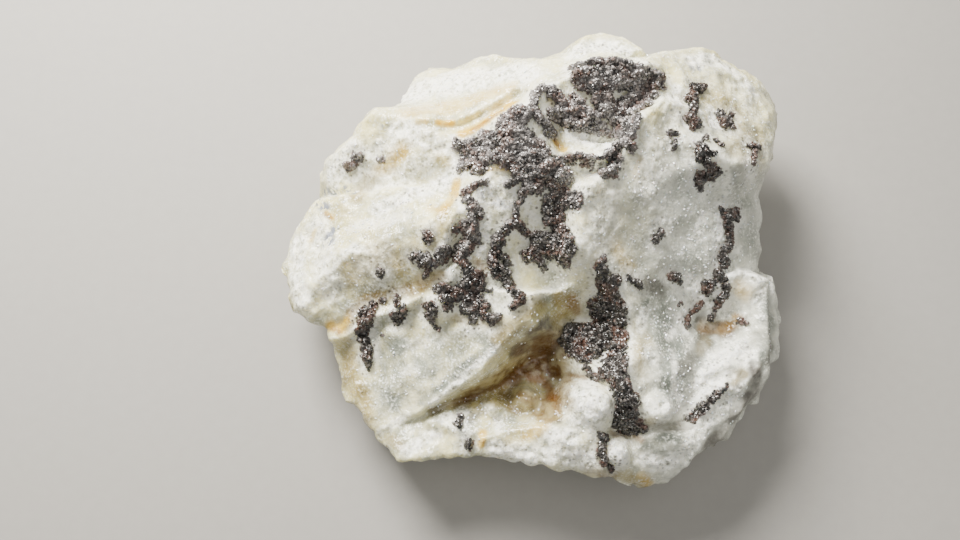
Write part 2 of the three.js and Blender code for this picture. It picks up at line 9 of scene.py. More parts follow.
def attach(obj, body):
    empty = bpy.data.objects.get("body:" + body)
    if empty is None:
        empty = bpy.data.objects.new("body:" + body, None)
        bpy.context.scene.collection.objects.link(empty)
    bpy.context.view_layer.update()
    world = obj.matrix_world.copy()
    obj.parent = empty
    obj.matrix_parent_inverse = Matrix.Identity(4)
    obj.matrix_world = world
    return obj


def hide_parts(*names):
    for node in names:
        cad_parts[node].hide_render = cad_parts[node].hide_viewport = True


bl_info = {
    "name": "Quartz with sphalerite",
    "version": (1, 0, 0),
    "blender": (4, 5, 0),
    "location": "3D View > Sidebar > Quartz",
    "description": "Builds a hand specimen of milky quartz with crusts of sphalerite, and a plain stage",
    "category": "Add Mesh",
}

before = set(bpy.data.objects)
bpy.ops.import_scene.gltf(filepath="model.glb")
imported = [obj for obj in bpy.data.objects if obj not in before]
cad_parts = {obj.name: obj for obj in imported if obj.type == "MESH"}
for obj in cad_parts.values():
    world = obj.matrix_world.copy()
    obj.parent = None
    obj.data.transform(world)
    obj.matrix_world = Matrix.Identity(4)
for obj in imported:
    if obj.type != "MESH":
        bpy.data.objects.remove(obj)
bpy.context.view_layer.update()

# Lengths in these lists are millimetres, as in the part's source
MM = 0.001

# Outline of the specimen seen from above
OUTLINE = [
    [8.3, 29.4], [10.8, 29.4], [12.8, 28.2], [15.4, 27.7], [21.9, 28.2], [23.5, 26.5], [25.6, 24.2],
    [27, 24.5], [29.6, 24], [30.8, 20.5], [30.8, 17.4], [30.2, 14.4], [29.1, 12.1], [28.4, 10.3], [28.3, 7.9],
    [28.8, 4.6], [28.5, 0], [30.3, -0.5], [30.9, -2.5], [31, -8.6], [30.5, -11.2], [28, -14.5], [27.7, -16.6],
    [25.4, -17.4], [24.6, -19.6], [23.8, -21.2], [20.4, -21.9], [18.7, -23.7], [15.9, -26.1], [12.5, -26.9],
    [9.3, -25.5], [7, -25.5], [5, -24.7], [0, -24.4], [-4.5, -23.1], [-7.6, -23.2], [-14.1, -23.7],
    [-16, -23.5], [-17.9, -21.9], [-19.8, -20.3], [-21.7, -17.1], [-23, -16.5], [-24.6, -9.5], [-25, -8],
    [-27.4, -7], [-29.4, -5.6], [-30.1, -2.6], [-31.2, 0.5], [-29.8, 5.1], [-27.5, 8.8], [-26.1, 13.1],
    [-22.5, 14.8], [-19.7, 19.2], [-16.7, 19.2], [-15.9, 24.9], [-13.2, 27.5], [-9.7, 25.5], [-4.6, 27.5],
    [-3, 26.2], [0, 25.7], [2.5, 26.5], [3.4, 26.2], [6.8, 28.9],
]

# Forms of the upper side: spot with its height, lean in x and y, crown, flank and outline
FORMS = {
    "low ground": ([0, -18, 9.3], [0.02, -0.15], 0, 0.6, [
        [-30.4, 20.9], [11, 32.5], [32.6, 22.1], [32.2, 3.2], [25.9, -19.7], [12.3, -25.1], [-14.1, -23.5],
        [-25.9, -14.5]]),
    "upper left slab": ([-3.5, 19, 21.2], [0.42, -0.7], 0.8, 2, [
        [-18.9, 19.4], [-16.7, 20.9], [-13.7, 27.4], [-4.7, 25.6], [1.5, 22.5], [7, 23.5], [11.5, 21],
        [12.5, 20], [7, 19.5], [2.5, 18.5], [-2, 16.5], [-5.5, 14.5], [-9, 12], [-12, 14.5], [-16, 16]]),
    "left boss, upper part": ([-17, 12, 18.4], [0.55, 0.42], 0.8, 1.6, [
        [-21.5, 16], [-19.1, 16.6], [-16, 15.5], [-12, 14], [-9, 12], [-9, 9.5], [-11, 8], [-16, 7.5],
        [-22, 8], [-27, 11.1], [-26.1, 12.5]]),
    "left boss, lower part": ([-20, 0, 18.2], [0.56, -0.09], 1.2, 2.4, [
        [-29.3, 5.3], [-26.8, 8], [-15.5, 7.5], [-10, 6.5], [-9, 4], [-11, 0.5], [-13, -2], [-16, -4],
        [-20.5, -5.5], [-24.9, -8.3], [-27.9, -7.2], [-30, -3.7], [-31.2, 1.1]]),
    "lower left plate": ([-11, -11.5, 14.3], [0.35, 0.22], 0, 3, [
        [-24.9, -8.3], [-21, -4.5], [-16, -3.5], [-10, -2.5], [-4, -4.5], [2.5, -5.5], [6, -4],
        [2.5, -6.5], [-2, -8.5], [-4, -10.5], [-6.5, -13.5], [-10, -15.5], [-13, -17.5], [-16.7, -19.7],
        [-14.6, -24], [-18, -22.7], [-21.5, -19.4], [-22.9, -17.2], [-23.8, -16.1]]),
    "middle": ([0.5, 5, 21.1], [-0.31, 0.55], 0.5, 2, [
        [-9, 11], [-4, 13.5], [0.5, 16.5], [7, 20], [14, 20.5], [14.5, 18], [11.5, 14.5], [11, 10], [8, 7],
        [6.5, 1.5], [7.5, -1], [6.5, -3], [1, -5], [-4, -6.5], [-11, -7.5], [-12, -5.5], [-12, -4],
        [-9, -1.5], [-7.5, 1], [-9, 5.5]]),
    "right face": ([17.5, 5, 19.3], [-0.57, 0.38], 0, 2.2, [
        [6, 5], [9.5, 8.5], [11, 13], [14, 16], [18.5, 15.5], [22.5, 13], [27.5, 11.5], [28.5, 9.2],
        [28.4, 5.8], [29.6, 1.6], [29, 0], [24.5, -1.5], [19.5, -1.5], [13, -2.5], [9.5, -3.5], [7, -2],
        [5.5, 0.5]]),
    "upper right boss": ([21.5, 17.5, 20.1], [-0.52, -0.32], 1.2, 1.6, [
        [13, 22], [19.8, 26], [23, 26.3], [27.3, 24.7], [31.2, 22.8], [30.2, 16.9], [27.6, 11],
        [23.5, 9.5], [17.5, 10], [14, 13], [13, 17.5]]),
    "lower right face": ([16.5, -10.5, 15.2], [-0.58, 0.26], 0, 2.2, [
        [8, -3.5], [13, -2.5], [19.5, -1.5], [25, -1], [26.5, -5.5], [24, -10], [21.5, -13], [19.5, -16],
        [18.5, -18], [15, -19.5], [11.5, -18.5], [10, -16.5], [9, -12.5], [8.5, -8]]),
    "white ledge": ([21.5, -13.5, 14.4], [0.66, -0.04], 0, 2.5, [
        [21.5, -10], [23, -9], [25, -8.5], [25, -12.5], [23.5, -15], [21, -15.5], [19, -17.5],
        [18.5, -17.5], [18.5, -15], [19.5, -13]]),
    "right rim": ([23, -13, 13.6], [-0.16, 0.11], 0, 2.2, [
        [24.5, -1.5], [27.9, -2.5], [27.6, -7], [28, -13.5], [24.7, -17], [22.4, -20.9], [19.7, -22.8],
        [17.8, -24.1], [18, -20], [20.5, -16.5], [24, -13.5], [25.5, -9], [25.5, -5]]),
    "right step": ([26, -13.5, 9.6], [-0.07, 0.07], 0, 2, [
        [30.2, -1], [31, -3.1], [31.4, -8.9], [30.2, -13], [28.5, -16.6], [25.8, -18], [24, -21.9],
        [21.1, -23.2], [20.6, -20.6], [24.8, -15.2], [27.8, -9.1]]),
    "lower rim": ([1, -21.5, 14], [0.11, 0.21], 0.5, 2, [
        [-6.2, -21], [-3, -20], [1, -19.5], [4.5, -18], [7, -19.5], [8.2, -25.1], [6.8, -26], [0, -24.9],
        [-4.2, -24.1], [-6.8, -23.6]]),
    "lower left corner": ([-11.5, -21, 11.3], [0, -0.3], 0, 2, [
        [-16.7, -19.7], [-13, -18], [-9.5, -19.5], [-6.8, -21.9], [-6.8, -24.1], [-11.5, -24.1],
        [-15.1, -24.5], [-17, -22.7]]),
    "lower right lobe": ([13.5, -23, 13.3], [-0.04, 0.6], 1.5, 2, [
        [12, -21], [14.5, -20], [17.6, -20.6], [19.7, -22.3], [18.8, -24.6], [15.2, -26.8], [12.4, -27.3],
        [10.2, -26], [9.2, -24.9], [11.1, -23.7]]),
    "top boss": ([8, 23.5, 21.5], [0, -0.5], 0.5, 2, [
        [4.5, 23], [6, 25.5], [8, 26.4], [10.5, 26], [12.5, 23.5], [8, 22.5]]),
    "bright facet": ([5.5, 11, 24], [0.25, -0.2], 0, 3, [
        [2.4, 13.2], [4, 11.8], [6.7, 11.2], [8.6, 11], [8, 9.9], [6.7, 9.1], [4.5, 9.7], [2.6, 10.2]]),
    "bank in the hollow": ([-4, -18, 11.1], [0, -0.55], 0, 1.2, [
        [-4, -16.5], [1, -16], [3, -18], [1, -19.5], [-3.5, -20], [-7.6, -20.2], [-12.5, -19], [-10, -17]]),
}

# Knobs: highest point, radius and the drop at that radius
KNOBS = [
    ([6.5, -17, 17.5], 2.3, 2.2), ([9.5, -22.5, 15.8], 1.5, 1.8), ([24.5, -4, 17], 1.9, 1.4),
    ([13.5, -17.5, 17.6], 1.8, 1.6), ([2.5, -18, 14], 1.1, 1.4), ([-10, -3, 20], 0.9, 1),
    ([-1, -16.5, 12.3], 1.3, 1.2), ([-5, -17.5, 12], 1, 1), ([8.5, -2, 23.2], 1.5, 1.2),
]

# Hollows: spot with the height of the floor, lean, slope of the walls and outline
HOLLOWS = {
    "dark hollow": ([6, -9, 12.2], [0.13, 0], 1.6, [
        [4, -7.5], [6, -6.5], [8, -7.5], [8.5, -10], [7.5, -11.5], [5.5, -11.5], [3.5, -10]]),
    "step under the left boss": ([-18, -5.5, 14.1], [0.39, 0.15], 0.7, [
        [-23.5, -7.5], [-21, -5.5], [-16.5, -4], [-13.5, -3], [-12.5, -4], [-16, -5], [-20.5, -7],
        [-22.5, -8.5]]),
    "cleft beside the bright facet": ([2.5, 11.5, 22.6], [0, 0], 2, [
        [1.5, 12.5], [2, 13], [3, 11], [2.5, 10.5]]),
    "trough by the right rim": ([22, -7.5, 11.4], [0, 0.09], 0.6, [
        [20.5, -6], [24.5, -6], [24, -8.5], [20.5, -9], [19.5, -7.5]]),
    "furrow across the left boss": ([-15.5, 7, 18.4], [0.42, -0.08], 0.3, [
        [-24, 5.5], [-19, 6.5], [-11, 8.5], [-9.5, 10], [-9.5, 9], [-11, 7.5], [-18, 5], [-23, 3.5]]),
    "cleft under the upper left slab": ([-11.5, 14.5, 20.3], [0.2, 0], 1.8, [
        [-13.5, 14.7], [-9.6, 14.5], [-7.6, 14.9], [-4.1, 16.7], [-1.8, 18], [-1.6, 17.5], [-4.1, 16],
        [-7.6, 14], [-9.6, 13.6], [-13.3, 14]]),
}

# Sharpness of the joins between the forms, and the height about which they are weighed
BLEND = 5
MIDDLE_HEIGHT = 20

# Rounding of the edge where the upper side meets the rim: how far it drops, and its width
RIM_DROP = 1.3
RIM_ROUNDING = 0.9

# Width and depth of the shallow scoops that the stone broke in
SCOOP = 6.5
SCOOP_DEPTH = 1.2

# Shift that moves the middle of the specimen over the origin
PLACE = (0, -1.35, 0)

# Broken faces that trim the sides: direction in degrees, anticlockwise from the right, tilt below
# level, and distance from the origin
SIDE_FACES = [
    (0, 35, 22.2), (35, 48, 17.7), (65, 28, 23.7), (95, 35, 17.2), (125, 30, 21.2), (155, 42, 16.7),
    (185, 25, 26.7), (215, 42, 18.7), (245, 30, 20.7), (275, 40, 15.2), (305, 28, 24.7), (335, 42, 20.7),
]

# Width of the flat base against the rim, and its middle
BASE_SCALE = 0.74
BASE_CENTRE = (0.5, 0.5)

# Crusts of sphalerite: runs of grains, each run a half width and the points it follows
CRUSTS = {
    "sphalerite_main": [
        [0.52, [4.2, 19.9], [5.7, 19.8], [7.3, 19.9], [8.8, 20.1], [10.2, 19.7], [11.8, 19.2], [12.9, 19]],
        [0.42, [12.9, 19], [14.2, 19.4]],
        [0.74, [4.2, 18.1], [5.7, 18.3], [7.4, 18.6], [9, 18.9], [10.7, 18.8], [12.3, 18.5], [13.6, 18.5]],
        [0.63, [4.6, 17.4], [5.9, 17.2], [7.3, 17.6], [8.9, 17.8], [10.5, 18]],
        [0.53, [10.5, 18], [11.4, 18.2], [12.7, 18.1]], [0.54, [11.2, 17.6], [11.7, 17.1], [13.2, 16.9]],
        [0.53, [6.4, 16.5], [7.6, 16.2]],
        [0.65, [7.6, 16.2], [8.3, 15.4], [9.7, 15.9], [10.7, 16.6], [12.2, 16.9]],
        [0.65, [9.5, 15], [10.6, 15.1], [11.6, 15.8], [12.4, 16.1]],
        [0.54, [6.6, 15.8], [7.4, 15.1], [8.3, 14.6]],
        [0.64, [8.6, 14.4], [9.4, 13.8], [9.9, 12.9], [10, 11.7]],
        [0.53, [10.7, 13.8], [10.4, 12.6], [10.1, 12]], [0.43, [8.9, 13.2], [9.2, 12.2]],
        [0.53, [9.8, 11], [10.3, 10.6]], [0.48, [9.2, 11.2], [8.1, 10.1], [7.6, 9.6]],
        [0.19, [7.6, 9.6], [6.6, 9.1], [6, 9.1]], [0.64, [8.7, 9.7], [8.4, 8.9], [8.1, 7.9]],
        [0.48, [7, 8], [7.3, 7.4], [8.3, 7.7]], [0.32, [4.5, 9.8], [4.9, 9.4], [5.6, 9.1], [5.9, 8.8]],
        [0.63, [1.5, 16.1], [2.1, 15.7], [2.6, 15.1]],
        [0.85, [2.6, 14.6], [3.7, 14.8], [5.1, 14.6], [6.3, 13.9]],
        [0.64, [3.3, 13.5], [4.7, 13.2], [6.1, 13.2], [7.2, 13.2]], [0.53, [3.9, 15.8], [4.9, 15.4]],
        [0.53, [1.4, 14.1], [2.1, 14]], [0.33, [7.5, 13], [8.5, 12.7]], [0.57, [-0.3, 16.3], [0.3, 16.3]],
        [0.42, [-0.4, 15.3], [-0.7, 14.4]], [0.52, [-0.8, 14.3], [-0.2, 13.6], [0.2, 13.2]],
        [0.53, [0.7, 12.9], [1.2, 12.9]], [0.48, [0.9, 12], [1.8, 12.5]],
        [0.63, [-2.9, 14.3], [-2.1, 14], [-1.2, 13.8]], [0.58, [-3.8, 13.8], [-2.6, 13.2], [-1.5, 13.2]],
        [0.53, [-4.2, 13.1], [-3.1, 12.5], [-2, 12.2]],
        [0.53, [-4.2, 12], [-3.1, 11.7], [-1.9, 11.6], [-1, 11.7]], [0.65, [-6, 12.4], [-5.1, 11.9]],
        [0.54, [-6.9, 11.7], [-5.7, 11.2], [-4.9, 11]], [0.6, [-9.1, 12], [-8.4, 11.4], [-7.5, 11.7]],
        [0.54, [-8, 10.9], [-6.9, 10.5], [-5.7, 10.1]], [0.55, [-8.3, 9.8], [-7.8, 9.4]],
        [0.44, [-8.6, 9.1]], [0.64, [-6.9, 9.4], [-5.7, 9.1], [-4.7, 9.2]], [0.49, [-7, 8.4], [-6, 8.1]],
        [0.63, [-4.4, 11.1], [-3.4, 10.5], [-2.1, 10.7], [-0.8, 10.8], [0.1, 10.5]],
        [0.74, [-4.2, 9.7], [-2.9, 9.6], [-1.6, 9.7], [-0.3, 9.7], [0.8, 9.7]],
        [0.58, [-3.7, 8.7], [-2.5, 8.4]], [0.74, [-1.5, 8.5], [-0.4, 8.3], [0.7, 8.2], [1.9, 8.6]],
        [0.48, [-2.7, 7.7], [-2.1, 7.4]], [0.38, [-3.5, 6.4], [-2.8, 6.7], [-2.1, 7]],
        [0.75, [1.9, 8.9], [2.6, 8.2], [2.4, 7.2]], [0.64, [0.7, 7.6], [-0.3, 7.1], [-1.3, 6.8]],
        [0.65, [1.3, 6.9], [2.2, 6.5], [3, 6.2]], [0.76, [2.2, 5.8], [3.2, 5.4], [3.9, 5.1]],
        [0.54, [4.2, 5.1], [4.3, 4.3]], [0.38, [2.6, 9.4], [3.5, 9.5], [4, 9.3]],
        [0.54, [3.3, 8.1], [3.4, 7.5]], [0.54, [-1.7, 5.8], [-0.7, 6.1], [0.2, 6.4]], [0.38, [-1.9, 5.1]],
        [0.66, [1.2, 5.1], [2.4, 4.9], [3.2, 4.8]], [0.56, [1, 4.4], [1.8, 4.2]],
        [0.56, [1.2, 3.3], [1.9, 3.2], [2.7, 3.5]], [0.67, [2.3, 2.4], [3, 2]],
        [0.9, [2.2, 1.2], [3.2, 0.7]], [0.9, [2.2, 0.3], [3.3, -0.3]], [0.51, [2.9, -1], [3.4, -1.3]],
        [0.51, [1.4, 1.7], [0.5, 1.5], [-0.1, 1]], [0.57, [-1.2, -0.3], [-0.4, -0], [0.7, 0.2]],
        [0.46, [-0.9, -0.7], [0.1, -0.6]], [0.4, [0.6, -1], [0.9, -1.6]], [0.51, [1.2, 0.7], [1.5, -0.1]],
        [0.45, [-2.7, 2.8], [-1.9, 2.5], [-1.2, 2], [-0.3, 1.7], [0.7, 1.7]],
        [0.38, [-2.2, 4.6], [-2.3, 3.9], [-2.4, 3.1]], [0.5, [-3.1, 2.6], [-3.7, 1.8], [-4.5, 1.4]],
        [0.5, [-4.1, 0.9], [-4.8, 0.5]], [0.62, [-4.6, -0.1], [-5.1, -1], [-4.8, -1.8]],
        [0.51, [-3.8, -0.6], [-3.3, -1.3]], [0.51, [-4, -2], [-3.2, -2.5]],
        [0.34, [-4.8, -2.6], [-4.4, -3]], [0.63, [-3.3, -3.3], [-3, -4]], [0.56, [-2.7, -4.6], [-2, -5.3]],
        [0.45, [-2.4, -5.8], [-1.7, -5.6]], [0.39, [-2.8, -6.5], [-2.3, -6.1]],
        [0.43, [-6, 6.7], [-6.6, 6.6], [-7.4, 6.3]], [0.54, [-8, 5.9], [-7.7, 4.9]],
        [0.54, [-7.3, 4.4], [-7, 3.8]], [0.44, [-6.7, 4], [-6.3, 3.5]], [0.55, [-7.2, 3.2], [-7, 2.3]],
        [0.5, [-8.2, 2.5], [-8, 1.9]], [0.55, [-7.5, 1.6], [-7.3, 1]], [0.39, [-7, 1.6], [-6.7, 0.8]],
        [0.22, [-9.2, 2], [-8.7, 2.2]], [0.56, [-8.2, 0.7], [-8.9, 0.2]],
        [0.5, [-10, -0.1], [-11.2, -0.6]], [0.56, [-12.4, -0.8], [-13.3, -0.9]],
        [0.4, [-13.8, -0.5], [-14.2, -0.6]], [0.51, [-13.2, -1.3], [-12, -1.3]],
        [0.39, [-11.4, -1.5], [-10.4, -1]], [0.28, [-12.2, -2], [-12.8, -2.5]],
        [0.56, [-7.5, 0.2], [-8.4, -0.4]], [0.51, [-8.9, -0.9], [-8.3, -1.5]],
        [0.68, [-8, -2], [-7.5, -2.7]], [0.45, [-6.7, -2.5], [-6.2, -2.9]],
        [0.46, [-7, -3.3], [-6.2, -3.6]], [0.46, [-8.3, -3.5], [-7.5, -3.7]],
        [0.46, [-11.4, -4.2], [-10.7, -3.9]],
        [0.46, [-10.4, -4.4], [-9.3, -4.3], [-8.1, -4.2], [-6.6, -4.1]],
        [0.29, [-6.2, -4.2], [-5.4, -4.4]], [0.52, [-10.6, -5.2], [-9.1, -5]],
        [0.46, [-9.8, -5.9], [-10.4, -6.3]], [0.58, [-11.9, -6], [-11.8, -6.7]],
        [0.26, [-12.9, -5.8], [-12.4, -6]], [0.47, [-12.3, -6.7], [-12.1, -7.4]],
        [0.3, [-11.9, -8], [-11.3, -8.2]], [0.63, [-8, -5.1], [-6.6, -5.2]],
        [0.7, [-8, -6.2], [-7.1, -6.5]], [0.52, [-7.3, -7.3], [-7.2, -7.7]],
        [0.46, [-6, -5.9], [-6.1, -6.8]], [0.29, [-5.4, -6], [-5.6, -6.4]],
        [0.52, [-5.6, -7.3], [-5, -7.7], [-4.5, -7.5]], [0.34, [-4.9, -8.2]],
    ],
    "sphalerite_streak": [
        [0.34, [7.4, -1.1], [7.2, -1.6]], [0.56, [7, -2], [7.6, -2.5]], [0.69, [7.6, -3.2], [8, -4]],
        [0.57, [8.8, -3.1], [9.2, -3.3]], [0.69, [8.5, -4], [8.7, -4.7]], [0.82, [7.9, -4.9], [8.8, -5.2]],
        [0.71, [7.2, -5.4], [7.5, -6.2]], [0.36, [6.6, -5.3]], [0.83, [8.7, -6.3], [9.5, -6.5]],
        [0.58, [9.6, -5.7], [10, -6.5]], [0.71, [9.1, -7.5], [9.8, -7.6]],
        [0.66, [7.9, -6.9], [8.1, -8.2]], [0.83, [9.1, -8.8], [9.9, -9.3]],
        [0.85, [8.3, -9.2], [7.8, -10.1]], [0.71, [9.1, -10.2], [9.9, -10.4]],
        [0.7, [9.1, -11.6], [9.7, -11.8]], [0.85, [4.4, -8.2], [5.6, -8.1], [7, -8.2]],
        [0.97, [4.1, -9.4], [5.5, -9.5], [6.9, -9.7]], [0.85, [4.7, -10.6], [6, -10.9], [7.3, -10.8]],
        [0.6, [5.4, -11.6], [6.3, -11.8]], [0.36, [5.9, -12.6], [6.3, -13.5]],
        [0.64, [8.4, -12.4], [8.9, -13]], [0.63, [9.4, -12.7], [9.5, -13.4]],
        [0.52, [7.5, -13.3], [7.8, -13.8]], [0.69, [8.4, -14], [9, -14.4]],
        [0.35, [6.5, -13.8], [7.3, -14.2]], [0.57, [8.8, -15.2], [9.5, -15.2]],
        [0.4, [10, -14.5], [10.2, -15.4]], [0.69, [9.4, -16.1], [10.3, -16.3]],
        [0.52, [10.9, -16.4], [11.2, -16.9]], [0.81, [9.8, -17.1], [10.7, -17.5]],
        [0.82, [9.6, -18.2], [10.7, -18.2]], [0.71, [9.5, -19.1], [10.6, -19.3], [11.4, -19.2]],
        [0.36, [11.9, -19.5], [12.4, -19.9]], [0.36, [10.1, -20], [11.4, -20.1]],
    ],
    "sphalerite_fissure": [
        [0.47, [7.4, -20.5], [7.9, -20.9]], [0.42, [7.6, -21.5], [7.4, -22.4]],
        [0.48, [7.7, -22.9], [7.9, -23.5]], [0.3, [8.4, -24.1], [8.8, -24.6]],
    ],
    "sphalerite_right_1": [
        [0.61, [18.4, 18.9], [18.9, 18.9]], [0.39, [19.7, 19.4]], [0.55, [17.9, 17.7], [18.1, 16.9]],
        [0.33, [17.2, 17.1]], [0.49, [17.8, 16], [17.6, 15]], [0.49, [16.9, 14.4], [17.4, 14.1]],
        [0.54, [17.5, 13.5], [18, 13.9]],
    ],
    "sphalerite_right_2": [
        [0.66, [21.5, 15.7], [21.7, 14.8]], [0.66, [22.4, 15.3]], [0.4, [23, 16.2]], [0.42, [22.8, 14.3]],
    ],
    "sphalerite_right_3": [
        [0.38, [14.6, 12.4], [15.3, 12.3]], [0.19, [15.2, 11.5], [15.2, 10.8]],
    ],
    "sphalerite_right_4": [
        [0.38, [18.9, 12.2]], [0.43, [18.1, 11.1], [18, 10.3], [18, 9.8]],
        [0.38, [18.6, 10.7], [18.5, 10]], [0.27, [19, 10.2], [19.7, 10.2]],
        [0.32, [18.8, 9.6], [19.2, 9.2]], [0.55, [19.6, 8.9], [20.1, 8.5]],
        [0.39, [20.5, 8.8], [20.7, 8.5]], [0.33, [19.7, 8.3]],
    ],
    "sphalerite_right_5": [
        [0.47, [18.3, 8.2], [18.9, 7.7]], [0.28, [19.1, 7.2]],
    ],
    "sphalerite_right_7": [
        [0.31, [24.8, 12.4], [25.7, 12.4]], [0.18, [25.7, 12.4], [26.6, 12.5]],
        [0.25, [25.4, 11.7], [25.1, 10.1]], [0.13, [24.7, 9.7]],
    ],
    "sphalerite_right_8": [
        [0.45, [13.7, 1.5], [14.4, 2.2]],
    ],
    "sphalerite_right_9": [
        [0.58, [22.4, 4.9], [23.7, 5.1]], [0.41, [24.1, 5.6], [24.4, 4.8]], [0.34, [21.9, 5.4]],
        [0.52, [22.7, 3.9], [23.2, 3.6]], [0.47, [23.1, 3], [23.3, 2.1]], [0.53, [23.2, 1.4], [22.4, 0.9]],
        [0.65, [22.4, 0.2], [22.8, -0.5]], [0.53, [21.9, -1.7], [22.4, -2.4]],
        [0.48, [22.8, -3.2], [23, -4]], [0.48, [22.4, -4.7], [22.7, -4.4]],
        [0.3, [22.3, -5.2], [21.9, -6.1], [21.4, -6.8]],
    ],
    "sphalerite_right_10": [
        [0.47, [16.1, -2.2], [16.9, -2.4]], [0.3, [17.3, -2.8]],
    ],
    "sphalerite_right_11": [
        [0.42, [20.3, -2.8], [21.2, -2.8]], [0.48, [20.6, -3.4], [21.1, -3.4]], [0.3, [20.9, -4]],
    ],
    "sphalerite_right_12": [
        [0.32, [20.3, -4.9], [19.5, -5.8]], [0.27, [19.2, -6], [18.7, -6.7]],
        [0.34, [18.6, -6.9], [18.5, -7.8]],
    ],
    "sphalerite_right_13": [
        [0.24, [22.2, -15], [21.3, -15.8]], [0.36, [21.3, -15.8], [20.3, -16.5]],
        [0.48, [19.6, -17.1], [18.9, -17.9]], [0.42, [18.5, -18.4], [18.2, -18.7]],
    ],
    "sphalerite_right_14": [
        [0.37, [10.5, -2.9]], [0.48, [11.3, -3.2], [11.9, -3.6]],
    ],
    "sphalerite_left_1": [
        [0.52, [-21.5, 12.1], [-20.7, 12]], [0.47, [-22.6, 11.4], [-21.7, 11.3]],
    ],
    "sphalerite_left_2": [
        [0.55, [-12.3, 1.3], [-12.2, 1.1]],
    ],
    "sphalerite_left_3": [
        [0.52, [-18, -2.1], [-17.9, -2.2]],
    ],
    "sphalerite_left_4": [
        [0.36, [-19.2, -5.4], [-18.7, -5.5]], [0.71, [-20.3, -6.3], [-19.3, -6.3]],
        [0.6, [-20.5, -7.5], [-19.7, -7.6]], [0.55, [-20.7, -8.4], [-20, -8.2]],
        [0.49, [-20.8, -9.3], [-20.1, -9.5]], [0.55, [-20.2, -10.3], [-19.8, -10.5]],
        [0.55, [-20.2, -11.3], [-19.9, -11.6]], [0.31, [-19.9, -12.4]],
    ],
    "sphalerite_left_5": [
        [0.45, [-16.1, -4.8], [-16.1, -5.5]], [0.49, [-15.3, -6.1], [-15.5, -6.5]],
        [0.5, [-16.4, -6.8], [-16.1, -7]], [0.3, [-16.3, -7.6]],
    ],
    "sphalerite_left_6": [
        [0.49, [-9, -19.3], [-8.8, -19.2]], [0.31, [-8.7, -18.3]],
    ],
    "sphalerite_left_7": [
        [0.46, [-7.7, -21.4], [-7.7, -21.7]],
    ],
}

# Loose grains beside the crusts, in runs like theirs
SPECKS = [
    [0.35, [-18.2, -5], [-17.7, -4.9]], [0.14, [-18.6, -8.3], [-18.2, -8.6], [-17.8, -9.1]],
    [0.27, [24.8, -7], [25.3, -7.4]], [0.39, [17.6, -5.1], [17.8, -4.9]],
    [0.11, [-18.5, 11.6], [-17.7, 11.3]], [0.2, [18.8, 21.9]], [0.14, [19.9, 22.6]], [0.23, [21, 3.5]],
    [0.16, [16.5, 7.1]], [0.2, [-5.9, -17.9]], [0.21, [4.1, -20]], [0.22, [20.1, 12], [20.8, 11.7]],
    [0.14, [11.3, -1.8]], [0.11, [20.8, 20.5]], [0.11, [-10.3, 2.2], [-9.8, 2.3]], [0.11, [4, 11.4]],
    [0.14, [21.8, -11.5]], [0.12, [-23.8, -1.4]], [0.16, [3.4, 17.5]], [0.13, [2.6, 17.5]],
    [0.21, [14.5, 18.1]], [0.22, [14.1, 16.9]], [0.21, [14, 15.1]], [0.11, [11.6, -1.1]],
    [0.11, [17, 4.2]], [0.12, [24, -3]], [0.18, [24.7, -9.7]], [0.12, [-17.8, -12.2]],
]

